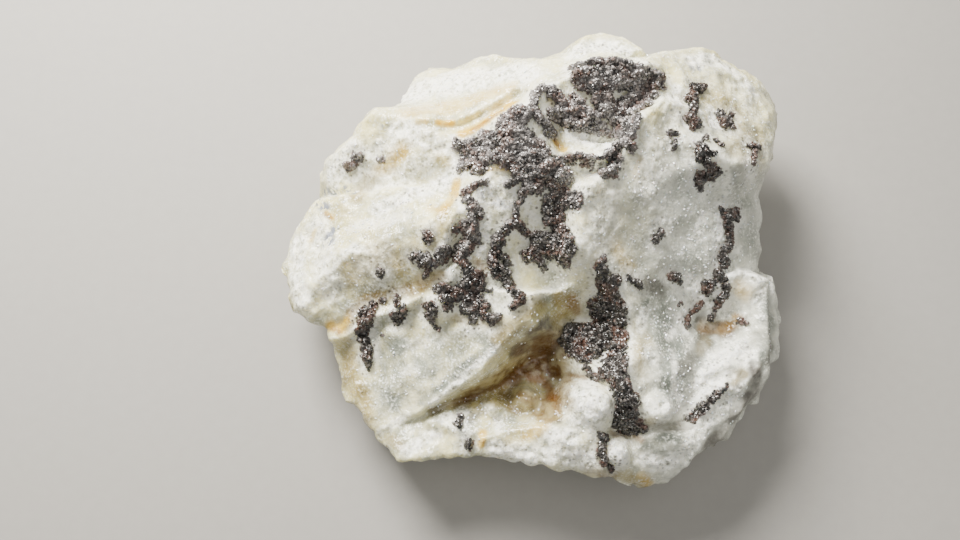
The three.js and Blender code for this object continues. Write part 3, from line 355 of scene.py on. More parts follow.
# Finish of the quartz, with painted shade among the darker kinds: for each kind of finish, runs with a
# strength, a half width and the points they follow
FINISHES = {
    "white": [
        [0.5, 1.9, [7.2, 6], [7.2, 1]], [0.5, 2.2, [12.2, 10.5], [13.2, 6.5]],
        [0.4, 1.6, [24.6, 20.2], [26, 17.6]],
        [0.9, 2.1, [-14.9, 21.3], [-11.3, 21.7], [-6.4, 21.5], [-1.2, 20.5]],
        [0.9, 1.2, [4.5, 22.8], [7.6, 24], [10.1, 23.3]],
        [0.7, 1.4, [-22.2, 11], [-19, 8.9], [-15.8, 9.1], [-12.8, 10]],
        [0.8, 1.2, [-16, 14.6], [-13.3, 13], [-11, 11.9]],
        [0.8, 1.1, [-21.8, 13.3], [-24.1, 12], [-24.7, 9.8]],
        [0.9, 1.1, [-18.3, 5.5], [-15.1, 6.6], [-11, 7.8], [-9.6, 8.5]],
        [0.9, 0.5, [-8.4, 4.4], [-9.1, 2.8], [-10, 1.1], [-10.9, 0.2]],
        [0.9, 0.5, [-8.9, 7.8], [-8.4, 8.7]], [0.8, 1.4, [-28.9, 2.5], [-28.8, -1], [-27.5, -4.4]],
        [0.7, 1.7, [-26.1, 4.5], [-25.2, -0.4], [-24.2, -3.1]],
        [0.7, 1.4, [-23.2, 11.8], [-20.1, 11.7], [-17, 12.9]], [0.5, 1.4, [-20.3, -0.9], [-17.3, -0.2]],
        [0.7, 0.7, [-23.5, -0.7], [-21.2, 0.7], [-19.3, -0.1]],
        [0.5, 0.8, [-21.8, 3.5], [-18.3, 3.7], [-15, 4.3]],
        [1, 1.2, [-5.7, 5.9], [-4.2, 4.5], [-2.5, 5.5]], [0.9, 0.7, [-5.6, 2.4], [-6, 0.2]],
        [0.9, 1, [-1, 4.7], [-0.3, 3.5]], [1, 1.1, [3.1, 12.8], [5.7, 11.9], [7.9, 10.7]],
        [0.9, 0.8, [4.7, 9.1], [6.9, 8]], [0.7, 1, [-9.2, -2.5], [-9.8, -3.8]],
        [0.7, 1, [4.4, 5.9], [5.9, 4.1], [6.9, 2.1]], [0.5, 1, [5.8, 0.6], [4.8, -1.5]],
        [0.6, 0.6, [-0.8, -5.7], [1.5, -4.1], [3.2, -3]], [1, 0.7, [20.3, 16.3], [20.2, 14.1]],
        [0.8, 1, [18.6, 22.9], [22, 24.7], [25.2, 22.6], [26.7, 20.5]],
        [0.7, 1.1, [15.4, 16.7], [14.5, 13]], [0.9, 0.6, [16, 18.4], [16, 15], [16.5, 13.9]],
        [1, 0.6, [21.6, 5.8], [21.6, 2.9], [21.5, -0.4], [22.1, -2.9]],
        [0.9, 0.4, [19.6, 4.7], [19, 3.4], [19.5, 2.1]],
        [0.8, 0.4, [13.7, 1.7], [13.3, 2.7], [14.1, 3.7], [15.3, 3.6]],
        [0.9, 0.6, [17.8, 10.6], [17.4, 9.1], [18.5, 7.5], [19.4, 6.6]], [0.8, 0.6, [22, 8], [22.3, 6.9]],
        [0.7, 0.5, [14.1, 13.8], [15.4, 12.3], [14.6, 10.9]],
        [0.9, 0.8, [23.6, -1.5], [25.7, -1.5], [27, -3], [26.7, -4.5]],
        [0.9, 0.6, [29.8, -0.2], [29.8, -2.9]], [0.9, 0.8, [18.5, -3], [19.6, -4.1], [21.7, -4.1]],
        [0.8, 0.7, [18.3, -2], [19.4, -3.1]], [0.8, 0.5, [15.7, -9.3], [17, -8.2]],
        [0.8, 0.7, [13.1, -11.2], [13.7, -12.3]], [0.7, 0.6, [12.1, -8.6], [12.6, -6.5]],
        [0.8, 1.1, [13.2, -17.6], [14.8, -17.8], [16.4, -16.8]], [0.7, 0.5, [16.2, -15.6], [16.1, -11]],
        [1, 1.1, [19.2, -14.8], [19.7, -13.8], [21.5, -11.8], [23, -11.1], [25.1, -10.6]],
        [1, 0.8, [19, -16.5], [19.6, -16.3], [21, -14.7], [22.5, -13.8]],
        [1, 0.7, [23.4, -9.6], [25.1, -10.1], [25.7, -11.4], [25.1, -12.3]],
        [0.9, 0.6, [24.3, -14.7], [23.1, -16.3], [21.8, -17.4]],
        [0.8, 0.7, [20.5, -18.6], [19.5, -20.2], [18.1, -21.1]],
        [0.9, 1, [12.6, -23.1], [14.7, -23.8], [17.3, -23.1]], [0.7, 0.6, [17.2, -21.5], [18.2, -22]],
        [1, 2.6, [5.7, -16.9], [6.3, -17.5]], [1, 1.2, [9.1, -22], [9.5, -23.3]],
        [0.9, 1.4, [-4.5, -22.5], [-0.6, -22.9], [2.8, -22.9], [6, -23.1]],
        [0.9, 1.2, [1.9, -20.6], [3.9, -21.1]], [0.8, 0.5, [-5.9, -16.9], [-4.6, -18.2], [-4.1, -19.7]],
        [0.7, 0.5, [-10.9, -18.8], [-10, -18.3]],
        [0.8, 0.8, [-14.9, -22.3], [-13.3, -21.1], [-11.4, -20.4]],
        [0.6, 0.5, [-18.4, -20.2], [-16.9, -19.2], [-15, -18.3]],
        [0.8, 0.4, [-12.1, -17], [-9.7, -15.1], [-6.9, -12.7], [-4.4, -10.8]],
        [0.4, 0.7, [-14.4, -10.1], [-11.1, -9.4], [-8.5, -8.8]],
        [0.4, 0.6, [-15.4, -13.2], [-14.1, -12.8]],
    ],
    "grey": [
        [0.5, 1.2, [17.4, -8.8], [18.8, -12.4]],
        [0.2, 3.1, [12.6, 7.4], [15.5, 5.2], [19.3, 2.9], [18.2, 0.7]],
        [0.2, 1.9, [11.2, 11.3], [12.5, 9.4]], [0.5, 1.4, [23.2, 7.8], [25.9, 5.5], [26.5, 1.6]],
        [0.3, 1.7, [11.9, 1.3], [14.4, -0.4], [19.5, -0.1]],
        [1, 2.1, [14, -4.6], [15.2, -8.4], [16.4, -12], [16.1, -15.6]],
        [1, 1.3, [20.7, -9], [19.2, -11.6], [17.5, -14]], [1, 1, [19.2, -6.6], [20.1, -9.3]],
        [1, 1.3, [28, -4.9], [28.4, -8.2], [27.2, -11.8]], [0.9, 0.8, [14.2, -20.9], [16.4, -20.6]],
        [0.6, 1, [13.1, -22], [15.3, -22.5]],
        [1, 0.7, [-13, -16.7], [-10.4, -14.7], [-7.6, -12.3], [-5, -10.6]],
        [0.9, 1.9, [-16.4, -10.1], [-16.9, -14.1], [-17.2, -16.9]],
        [0.8, 1.9, [-12.9, -12.5], [-9.3, -10.6], [-5.8, -9]], [0.6, 1.4, [-19, -8.2], [-15.3, -7.4]],
        [0.5, 1.2, [-14.8, -19.4], [-11.2, -18.2]], [0.9, 1.1, [-10.7, -2.8], [-9.8, -3.4]],
        [0.9, 1.2, [-8.6, -17.3], [-7.8, -19.7]], [0.7, 1, [-3.4, -17.8], [-2.7, -19.7]],
        [0.3, 2.1, [-21.8, -3.2], [-19.2, -2], [-15.6, -0.6]],
        [0.6, 1.1, [-22.6, -5.4], [-19.4, -4], [-16.3, -3.2]], [0.6, 1.2, [-17.3, 2.3], [-14.6, 2.5]],
        [0.7, 1, [-15.4, -20.9], [-16.1, -21.6]], [0.5, 1.2, [25.2, 15.4], [27, 13.1]],
        [0.6, 0.6, [2.5, -7.2], [-0.6, -9.1]], [0.7, 1.1, [1.5, -1.5], [3.1, -3.5], [1, -5.3]],
        [0.7, 0.6, [7.3, -12.1], [7.2, -12.9]], [0.8, 0.6, [10.1, -18.4], [10.4, -19.1]],
        [0.6, 1, [-4.7, -4], [-4.1, -5.5]],
    ],
    # Smoky: darker clear quartz, with painted shade on the steps of the right rim, in gullies and on the
    # upper wall of the hollow
    "smoky": [
        [0.9, 1, [26, -12.6], [26.2, -15.3], [24.8, -16.9]],
        [0.8, 0.8, [23.1, -18.3], [21.9, -20.6], [20.2, -21.8]], [0.6, 0.8, [29, -9.8], [27.7, -12]],
        [0.7, 1, [12.7, -3.4], [14.7, -3.8]], [1, 1.2, [20.3, -7.3], [21.7, -7.8], [23.4, -8.2]],
        [0.7, 1.1, [20.6, -9.5], [19, -11.4], [17.3, -13.1]],
        [0.8, 0.7, [25.7, -14.9], [24.1, -17.4], [21.8, -20], [19.8, -21.9]],
        [0.4, 0.7, [27.6, -7.4], [29.2, -9.4]], [0.9, 1.3, [-0.5, -9.4], [1.5, -9.8], [2.7, -8.8]],
        [0.6, 0.8, [-4.6, -10.5], [-3, -9.1], [-1.5, -8.1]],
        [0.9, 1, [-2.6, -11], [-0.5, -9.7], [1.5, -7.9]], [1, 0.6, [2.6, -17.4], [2.5, -18.8]],
        [0.7, 0.6, [24.2, -13.8], [23.3, -14.7]], [0.7, 0.7, [12.9, -19.5], [15.7, -19.7], [18, -19.3]],
        [0.7, 0.7, [-7.6, -18.6], [-6.4, -17.8]], [0.4, 1, [22.9, 8.2], [23.7, 9.6]],
        [0.6, 0.4, [17.9, -16.3], [18.6, -15.8]],
    ],
    # Tan: painted beige shade under the steps of the left boss, in the hollow and gullies, and on the shaded
    # side of the upper right boss
    "tan": [
        [0.8, 1.2, [-15.1, 12.4], [-17.3, 11.1], [-19.6, 9.3], [-21.2, 7.5]],
        [0.6, 0.8, [-22.6, 6.2], [-23.8, 5]], [0.8, 0.8, [-11, 10.8], [-10.1, 10.1]],
        [0.7, 1.1, [-10.5, 3.9], [-10.7, 2], [-12, 0.9], [-13.9, 0.3]],
        [0.3, 1.2, [-18.8, 1.5], [-16.1, 0.8]], [0.3, 1, [-21.8, -3.9], [-19, -3.2], [-15.7, -1.8]],
        [0.9, 1, [-22.6, -7.7], [-20.5, -5.5], [-17.2, -4.5], [-14, -3.7], [-11, -3.8]],
        [1, 0.7, [-13.4, -2.7], [-11, -2.8]], [0.8, 0.7, [-9.3, -7.3], [-6.4, -7.8], [-3.6, -8]],
        [0.9, 1.4, [-22.5, -10.6], [-22.3, -13.7], [-20.7, -16.6], [-20.2, -18.8]],
        [1, 0.6, [-6.9, -1.3], [-5.7, -1.9]],
        [0.6, 1.6, [19.4, 18.4], [22, 17.8], [24.6, 16.4], [24.2, 13.6], [22.7, 11.4]],
        [0.7, 1.3, [26.3, 15], [25.9, 10.8]], [0.7, 0.7, [24.1, -3], [24.7, -3.8]],
        [0.4, 1.1, [20.7, -7.6], [22.9, -7.8]], [0.3, 0.8, [20.9, -9.3], [19.8, -10.6]],
        [0.9, 1.1, [2.9, -5.1], [4.5, -5.8], [3.1, -6.9]],
        [0.8, 1, [-4.1, -9.6], [-1.9, -7.8], [0.5, -6.1]],
        [0.8, 1.1, [-7.6, -16.6], [-4, -16.1], [-1, -17.6]], [0.8, 1, [-1.2, -20.2], [-2.7, -21.1]],
        [0.9, 1.1, [3.1, -15.9], [3.2, -17.4], [1.2, -18.2]], [0.6, 0.7, [-9.8, -16.9], [-7.6, -15.9]],
        [0.8, 0.7, [8, -25.4], [9.9, -25], [13, -26.2]], [0.7, 0.7, [11.9, -19.1], [13, -18.9]],
        [0.4, 1.2, [8.4, 0.9], [9.5, -0.6], [10.7, -1.8]], [0.2, 1.4, [7.5, 4.9], [8.8, 2.9]],
        [0.6, 0.7, [24.2, -13.5], [22.7, -14.3]], [0.4, 1, [11.4, -11.2], [11.7, -13.5]],
        [0.7, 0.6, [5, 16.7], [7, 14.9], [8.7, 13.5]], [0.6, 1, [-1.9, -6.8], [0.4, -5.9]],
        [0.6, 0.8, [-15.8, -21.6], [-16.8, -21.1]], [0.5, 0.8, [13, -10], [11.6, -8.2]],
    ],
    "yellow": [
        [1, 0.4, [-11.2, 14.8], [-10.3, 14.7], [-9.7, 14.8]], [0.5, 0.4, [-13.6, 14.9], [-12.6, 14.9]],
        [1, 0.8, [-8.3, 13.3], [-6.7, 13.7], [-5.2, 14.6], [-4.1, 15.5], [-2.9, 16.1]],
        [0.9, 0.6, [-9.1, 7.6], [-9.3, 5.8], [-10.4, 4.5]], [0.5, 0.6, [-12.1, 4.6], [-10.4, 3.9]],
        [1, 0.5, [1.6, 12.5], [2.2, 11.5], [2.9, 10.5]], [0.5, 0.8, [1.5, 15.6], [3.3, 15.1], [5.3, 14.1]],
        [0.3, 0.8, [8.9, 0.4], [9.5, -0.8], [10.5, -1.8]], [0.4, 1, [24.6, -3.1], [25.6, -4]],
        [0.9, 0.5, [-6.3, -21.6], [-6.1, -20.4]], [0.7, 0.7, [-24.5, -7.7], [-23.2, -8.1], [-22.3, -7.2]],
        [0.8, 0.4, [-5.5, 8.1], [-4.2, 8.2], [-2.7, 8]], [0.2, 0.7, [11.7, -10.4], [11.2, -12.8]],
        [0.7, 0.5, [-27, 2.8], [-26.5, 3.9]], [0.8, 0.4, [-25.1, 5.8], [-24.2, 5.1]],
        [0.5, 0.8, [-0.9, -20.6], [1.1, -19.7]],
        [0.5, 1.1, [-15.2, 16.7], [-11.1, 17.1], [-6.4, 18], [-3, 18.8]],
        [0.3, 0.5, [11.3, 9.4], [10.9, 7.8]], [0.2, 0.7, [22.9, -8.2], [23.8, -7.7]],
        [0.6, 0.4, [24.4, -6.4], [24.7, -6.9]], [0.5, 1.1, [-17.6, 10.4], [-15.8, 11.4]],
        [0.3, 1.4, [-21.6, -1.6], [-18.5, -0.5], [-15.6, -1]], [0.5, 0.6, [13.7, -26.2], [12.3, -25.2]],
    ],
    # Brown: painted shade in the hollow, in the trough by the right rim and under the step of the left boss,
    # tinted like the iron stain nearby
    "brown": [
        [0.8, 1, [-1.2, -16], [1.4, -16.9], [3.2, -16.5]], [0.7, 0.8, [3.9, -14.3], [3.3, -15.8]],
        [0.5, 0.8, [-3.5, -16.4], [-1.9, -17.4]], [0.9, 0.7, [0.5, -17.8], [1.5, -18.6]],
        [0.6, 0.7, [20.5, -8.1], [22.2, -7.9], [24.3, -7.4]],
        [0.5, 0.7, [-22, -6.3], [-20, -5.2], [-17, -4.4], [-13.4, -3.6], [-10.5, -3.4]],
        [0.5, 0.8, [-2.6, -16.4], [-3.4, -15.4]], [0.9, 0.8, [-9.4, -16.6], [-6.6, -15.3], [-3.4, -13.6]],
        [1, 1.5, [-2.5, -13.2], [0.4, -11.9], [3.1, -12.5]],
        [0.9, 1.2, [0.6, -10.2], [2.9, -9.8], [3.5, -11.1]], [0.8, 1, [1.5, -16.4], [2, -17.4]],
        [0.7, 0.8, [3.6, -12.8], [4.2, -14.4]], [0.6, 0.6, [-12.2, -17.8], [-9.8, -16.6]],
        [0.5, 1, [-1.6, -10.8], [0.2, -9.9]], [0.8, 0.5, [2, -12.4], [4, -13.3], [5.9, -14]],
        [0.6, 0.6, [7.3, -21.1], [7.5, -23.6]], [0.5, 0.7, [6.3, -24.5], [9, -25]],
    ],
    "rust": [
        [0.8, 0.7, [-0.3, -13.7], [1.2, -13.9], [2.1, -14.9], [2.2, -15.9]],
        [0.4, 0.6, [-3.3, -14.6], [-1.5, -13.9]], [0.5, 0.4, [24.6, -6.4], [25.1, -6.9]],
        [0.6, 0.5, [9.2, -20.4], [11.1, -20.5], [12.1, -21.1]], [0.6, 0.3, [-25.4, 5.8], [-24.4, 5.1]],
        [0.8, 0.3, [1.8, 12], [2.4, 11.2]], [0.6, 0.4, [-7.2, 13.4], [-5.6, 14.2], [-4.3, 15.2]],
        [0.5, 0.6, [4.4, -5.2], [5.3, -5.9]], [0.6, 0.4, [-24.2, -8], [-23.5, -8.4]],
        [0.2, 0.6, [23.1, -8.5], [23.7, -8.1]], [0.5, 0.4, [-6.6, -1.4], [-6, -1.9]],
    ],
    "steel": [
        [1, 0.6, [-26.3, 7.6], [-25.2, 6.6]], [1, 0.7, [-23.8, 3.5], [-24.6, 2.1]],
        [0.9, 0.4, [-23.4, 9.4], [-21.8, 8.4]], [0.9, 0.4, [-26.2, 9.7], [-24.3, 9.1]],
        [0.9, 0.4, [-17.7, 15.1], [-17.1, 14.8]], [0.7, 0.4, [18.5, 21.9], [19.4, 21.9]],
        [0.7, 0.4, [12.9, 14.6], [13.7, 15.2]], [0.6, 0.4, [-18.1, 11.6], [-17.5, 11.3]],
    ],
}

# Where tiny clear crystals cover the quartz, in runs with a strength like those of the finishes
GLITTER = [
    [0.9, 3.6, [12.5, 8.4], [17.6, 7], [21.8, 3.1]],
    [0.7, 2.4, [11.8, 2.4], [15.8, -0.7], [19.5, -0.5]],
    [0.8, 2.6, [14.9, -6], [15.5, -10.8], [16.8, -14.8]],
    [0.7, 1, [-12.3, -16.7], [-8.7, -13.8], [-4.1, -10.4], [-0.8, -7.8]],
    [0.6, 1.9, [-17.8, -10.6], [-15.9, -14.1]],
    [0.5, 3, [-21.8, 3.2], [-16.8, 3.8]],
    [0.6, 1.4, [23.8, -15.4], [20.9, -18.8], [17.6, -21.7]],
    [0.6, 1.7, [-10, -17.6], [-5.2, -18.8], [-0.4, -17]],
    [0.4, 1.7, [2.9, -2.8], [5.7, 1.6]],
    [0.5, 1.7, [25.2, 17.5], [24.9, 11.8], [25.4, 6]],
]

# Largest tilt and turn of a scattered crystal, in radians either way
ANY_TILT = 3.1
HALF_TURN = 3.15

# Chips, sugary grains and fine tooth of the broken quartz, in mm across
LARGE_CHIP = 3.1
SMALL_CHIP = 1.2
SUGAR_GRAIN = 0.7
TOOTH = 0.42

# Bulges of the sides: height and width
BULGES = ((0.8, 7), (0.5, 3))

# Half width of the grid that the upper side is built on
REACH = 33

# Strips along the rim without crust and without tiny crystals
CRUST_MARGIN = 0.8
DRUSE_MARGIN = 1.2

# A crust has no patch of fewer cells than this
SMALLEST_PATCH = 5

# How deep a crust and the tiny crystals are rooted in the quartz
CRUST_ROOT = 0.4
DRUSE_ROOT = 0.04

# Grid under the tiny crystals: spacing, and first and last cell in x and y
DRUSE_GRID = 0.5
DRUSE_CELLS = ((-60, 61), (-56, 61))
DRUSE_CRYSTALS = {
    "per_square_metre": 2.2e6, "smallest": 0.12 * MM, "largest": 0.42 * MM, "seed": 5, "tilt": ANY_TILT,
}

# Inputs of a scatter tree, each with its kind of socket and its default
SCATTER_INPUTS = {
    "Per square metre": ("NodeSocketFloat", 1e6), "Smallest": ("NodeSocketFloat", 0.3 * MM),
    "Largest": ("NodeSocketFloat", 0.6 * MM), "Seed": ("NodeSocketInt", 0),
    "Tilt": ("NodeSocketFloat", ANY_TILT),
}

# Added to the seed for the loose grains, well clear of what the crusts add
SPECK_TURN = 90

# Cloudy patterns in the materials: size in mm, detail and roughness
QUARTZ_PATTERNS = {
    "cloud": (9, 4, 0.6), "wisp": (2.4, 5, 0.65), "blot": (3.5, 3, 0.7), "mottle": (0.9, 3, 0.7),
    "speck": (0.3, 2, 0.5),
}
SPHALERITE_PATTERNS = {"cloud": (1.3, 4, 0.5), "zone": (2.2, 2, 0.5), "speck": (0.2, 2, 0.5)}
DRUSE_PATTERNS = {"cloud": (3, 2, 0.5)}
FLOOR_PATTERNS = {"tooth": (1.5, 3, 0.5)}
PORE_SPACING = 0.5 * MM

# How strongly light bends in each mineral
QUARTZ_IOR = 1.544
SPHALERITE_IOR = 2.37

# Two kinds of node that the materials use most
MATH = "ShaderNodeMath"
RANGE = "ShaderNodeMapRange"

# Half width of the floor
FLOOR = 900

# Soft lights: place, width, and power as a share of the window's
LIGHTS = {"window": ((-72, 121, 134), 88, 1), "ceiling": ((60, -40, 320), 300, 0.29)}
LIGHT_AIM = (0, 0, 14)
LIGHT_COLOUR = "FFFAF2"
ROOM_COLOUR = "F1F3F3"

# Camera: place, lean off the vertical in degrees, lens, width of the sensor, and nearest distance seen
CAMERA_PLACE = (-6.41, -20.65, 111.3)
CAMERA_LEAN = 11.3
LENS = 31.16
SENSOR = 36
NEAREST_SEEN = 2


# Numbers into shapes

def cell_value(i, j, k):
    """Number from 0 to 1 that belongs to a cell in space."""
    value = np.sin(i * 12.9898 + j * 78.233 + k * 37.719) * 43758.5453
    return value - np.floor(value)


def noise(x, y, z):
    """Smooth noise from -1 to 1, the same as in the part's source."""
    cells = [np.floor(v) for v in (x, y, z)]
    shares = [(v - c) ** 2 * (3 - 2 * (v - c)) for v, c in zip((x, y, z), cells)]
    total = 0
    for corner in range(8):
        steps = (corner & 1, (corner >> 1) & 1, corner >> 2)
        share = 1
        for step, t in zip(steps, shares):
            share = share * (t if step else 1 - t)
        total = total + share * cell_value(*(c + step for c, step in zip(cells, steps)))
    return 2 * total - 1


def scoops(x, y):
    """Shallow scoops with sharp ridges between them, as in the part's source."""
    u, v = x / SCOOP, y / SCOOP
    lowest = np.full(np.shape(x), np.inf)
    for near in range(9):
        i, j = np.floor(u) + near % 3 - 1, np.floor(v) + near // 3 - 1
        dx, dy = u - i - cell_value(i, j, 1), v - j - cell_value(i, j, 2)
        tilt = (cell_value(i, j, 3) - 0.5) * dx + (cell_value(i, j, 4) - 0.5) * dy
        lowest = np.minimum(lowest, dx * dx + dy * dy + 0.9 * tilt + 0.4 * cell_value(i, j, 5))
    return lowest


def chips(x, y, z, size, seed=0):
    """Small scoops like those of the upper side, but in space."""
    u, v, w = x / size, y / size, z / size + seed
    lowest = np.full(np.shape(x), np.inf)
    for near in range(27):
        i, j = np.floor(u) + near % 3 - 1, np.floor(v) + near // 3 % 3 - 1
        k = np.floor(w) + near // 9 - 1
        dx, dy = u - i - cell_value(i, j, k), v - j - cell_value(i, j, k + 0.3)
        dz = w - k - cell_value(i, j, k + 0.6)
        tilt = (cell_value(i + 0.5, j, k) - 0.5) * dx + (cell_value(i, j + 0.5, k) - 0.5) * dy
        bottom = 0.4 * cell_value(i + 0.5, j + 0.5, k)
        lowest = np.minimum(lowest, dx * dx + dy * dy + dz * dz + 0.9 * tilt + bottom)
    return lowest


def distance_to_line(start, end, x, y):
    """Distance to the straight line between two spots."""
    ex, ey, wx, wy = end[0] - start[0], end[1] - start[1], x - start[0], y - start[1]
    t = np.clip((wx * ex + wy * ey) / (ex * ex + ey * ey), 0, 1)
    return np.hypot(wx - t * ex, wy - t * ey)


def distance_to(outline, x, y):
    """Distance to a closed outline, negative inside it."""
    nearest = np.full(np.shape(x), np.inf)
    inside = np.zeros(np.shape(x), bool)
    for (ax, ay), (bx, by) in zip(outline, outline[1:] + outline[:1]):
        nearest = np.minimum(nearest, distance_to_line((ax, ay), (bx, by), x, y))
        if ay != by:
            inside ^= ((ay > y) != (by > y)) & (x < ax + (y - ay) * (bx - ax) / (by - ay))
    return np.where(inside, -nearest, nearest)


def distance_to_path(spots, x, y):
    """Distance to an open path, which may be one spot."""
    nearest = np.hypot(x - spots[0][0], y - spots[0][1])
    for start, end in zip(spots, spots[1:]):
        nearest = np.minimum(nearest, distance_to_line(start, end, x, y))
    return nearest


def slope(at, lean, x, y):
    """Height of a leaning plane."""
    return at[2] + lean[0] * (x - at[0]) + lean[1] * (y - at[1])


def top_height(x, y):
    """Height of the upper side above the base, as in the part's source."""
    powers = 0
    for at, lean, crown, flank, outline in FORMS.values():
        z = slope(at, lean, x, y) - flank * np.maximum(0, distance_to(outline, x, y))
        z = z - crown * ((x - at[0]) ** 2 + (y - at[1]) ** 2) / 100
        powers = powers + np.exp(BLEND * (z - MIDDLE_HEIGHT))
    for at, radius, drop in KNOBS:
        z = at[2] - drop * ((x - at[0]) ** 2 + (y - at[1]) ** 2) / radius ** 2
        powers = powers + np.exp(BLEND * (z - MIDDLE_HEIGHT))
    z = MIDDLE_HEIGHT + np.log(powers) / BLEND
    for at, lean, flank, outline in HOLLOWS.values():
        floor = slope(at, lean, x, y) + flank * np.maximum(0, distance_to(outline, x, y))
        z = -np.logaddexp(-BLEND * z, -BLEND * floor) / BLEND
    z = z + SCOOP_DEPTH * (scoops(x, y) - 0.45) + 0.3 * noise(x / 2.1, y / 2.1, 7.5)
    return z - RIM_DROP * np.exp(np.minimum(0, distance_to(OUTLINE, x, y)) / RIM_ROUNDING)


# Where each finish and each crust lies

def finish_share(kind, x, y):
    """How much of one kind of finish the quartz has at a place, from 0 to 1."""
    share = np.zeros(np.shape(x))
    ragged = 0.3 * noise(x / 2.2, y / 2.2, 5.5) + 0.25 * noise(x / 0.8, y / 0.8, 2.5)
    for strength, width, *spots in FINISHES[kind]:
        edge = np.clip(1.45 - distance_to_path(spots, x, y) / width + ragged, 0, 1)
        share = np.maximum(share, strength * edge * edge * (3 - 2 * edge))
    return share


def glitter_share(x, y):
    """How thickly tiny clear crystals cover the quartz at a place, from 0 to 1."""
    share = np.zeros(np.shape(x))
    for strength, width, *spots in GLITTER:
        edge = np.clip(1.5 - distance_to_path(spots, x, y) / width, 0, 1)
        share = np.maximum(share, strength * edge)
    return share


def crust_reach(runs, x, y):
    """Distance from the runs of a crust less their half width: negative on the crust."""
    return np.min([distance_to_path(spots, x, y) - width for width, *spots in runs], axis=0)


def nearest_crust(x, y):
    """Distance to the nearest crust, negative on it."""
    return np.min([crust_reach(runs, x, y) for runs in CRUSTS.values()], axis=0)


def crust_halo(x, y, width):
    """Nearness to the crusts, from 0 to 1, with a ragged edge."""
    ragged = 0.5 * noise(x / 1.6, y / 1.6, 9.5) + 0.3 * noise(x / 0.6, y / 0.6, 4.5)
    return np.clip(1.1 - nearest_crust(x, y) / width + ragged, 0, 1)


def relief(x, y, z, white, calm):
    """Small ups and downs of the broken quartz in mm: chips and, where it is white, sugary grains."""
    broken = 0.8 * (1 - 0.6 * calm) * (chips(x, y, z, LARGE_CHIP) - 0.4)
    small = (0.3 + 0.2 * white) * (1 - 0.6 * calm) * (chips(x, y, z, SMALL_CHIP, 7) - 0.4)
    grains = (0.08 + 0.4 * white) * (0.35 - chips(x, y, z, SUGAR_GRAIN, 13))
    tooth = (0.02 + 0.06 * white) * noise(x / TOOTH, y / TOOTH, z / TOOTH)
    return broken + small + grains + tooth


def upper_relief(x, y, z):
    """Relief of the upper side, calmer on the grey bands and under the tiny crystals."""
    calm = np.maximum(finish_share("grey", x, y), glitter_share(x, y))
    return relief(x, y, z, finish_share("white", x, y), calm)


# Grids and meshes

def mesh_object(name, points_mm, faces):
    """A mesh object at the origin from points in millimetres and a list of faces."""
    mesh = bpy.data.meshes.new(name)
    points = (np.asarray(points_mm) + PLACE) * MM
    mesh.from_pydata(points.tolist(), [], [list(map(int, face)) for face in faces])
    mesh.validate()
    mesh.update()
    piece = bpy.data.objects.new(name, mesh)
    bpy.context.scene.collection.objects.link(piece)
    return piece


def store_share(mesh, name, values):
    """Keeps one number per point on a mesh, for its material or its scatter."""
    layer = mesh.attributes.new(name, "FLOAT", "POINT")
    layer.data.foreach_set("value", np.asarray(values, np.float32))


def whole_cells(points):
    """Cells of a grid that have all four corners in a set of grid points."""
    return points[:-1, :-1] & points[1:, :-1] & points[:-1, 1:] & points[1:, 1:]


def cell_corners(cells):
    """Grid points that touch a chosen cell, and those with chosen cells all round."""
    padded = np.pad(cells, 1)
    rows, columns = cells.shape
    around = [padded[a:a + rows + 1, b:b + columns + 1] for a in (0, 1) for b in (0, 1)]
    return np.any(around, axis=0), np.all(around, axis=0)


def numbered(points, first=0):
    """Running numbers for a set of grid points."""
    return np.cumsum(points.ravel()).reshape(points.shape) - 1 + first


def cell_quads(cells, number):
    """Faces of the chosen cells, from the numbers of the grid points."""
    a, b = np.argwhere(cells).T
    return np.stack([number[a, b], number[a + 1, b], number[a + 1, b + 1], number[a, b + 1]], axis=1)


def large_patches(mask, smallest):
    """The cells of a mask that belong to patches of at least so many cells, joined along their sides."""
    kept = np.zeros_like(mask)
    left = set(map(tuple, np.argwhere(mask).tolist()))
    while left:
        front = [left.pop()]
        patch = list(front)
        while front:
            a, b = front.pop()
            beside = {(a + 1, b), (a - 1, b), (a, b + 1), (a, b - 1)} & left
            left -= beside
            front += beside
            patch += beside
        if len(patch) >= smallest:
            kept[tuple(np.array(patch).T)] = True
    return kept


def cell_loop(cells):
    """Loop of grid points around a patch of cells, anticlockwise."""
    after = {}
    for i, j in cells:
        corners = [(i, j), (i + 1, j), (i + 1, j + 1), (i, j + 1)]
        beside = [(i, j - 1), (i + 1, j), (i, j + 1), (i - 1, j)]
        for side, cell in enumerate(beside):
            if cell not in cells:
                after[corners[side]] = corners[(side + 1) % 4]
    loop = [next(iter(after))]
    while after[loop[-1]] != loop[0]:
        loop.append(after[loop[-1]])
    if len(loop) != len(after):
        raise RuntimeError("the grid has more than one edge")
    return loop


def fill_band(outer, inner, is_covered):
    """Triangles between two closed loops of points, as indices into outer followed by inner."""
    n, m = len(outer), len(inner)
    edges = [(i, (i + 1) % n) for i in range(n)] + [(n + i, n + (i + 1) % m) for i in range(m)]
    spots = [Vector(spot) for spot in (*outer, *inner)]
    _, _, faces, origins, _, _ = geometry.delaunay_2d_cdt(spots, edges, [], 0, 1e-9)
    if len(origins) != n + m:
        raise RuntimeError("the band between the rim and the grid crosses itself")
    faces = np.array([[origins[i][0] for i in face] for face in faces])
    flat = np.array([tuple(spot) for spot in spots])
    middle = flat[faces].mean(axis=1)
    keep = (distance_to(outer, *middle.T) < 0) & ~is_covered(middle)
    a, b, c = (flat[faces[:, k]] for k in range(3))
    turn = (b[:, 0] - a[:, 0]) * (c[:, 1] - a[:, 1]) - (b[:, 1] - a[:, 1]) * (c[:, 0] - a[:, 0])
    faces[turn < 0] = faces[turn < 0][:, ::-1]
    return faces[keep]


# The quartz

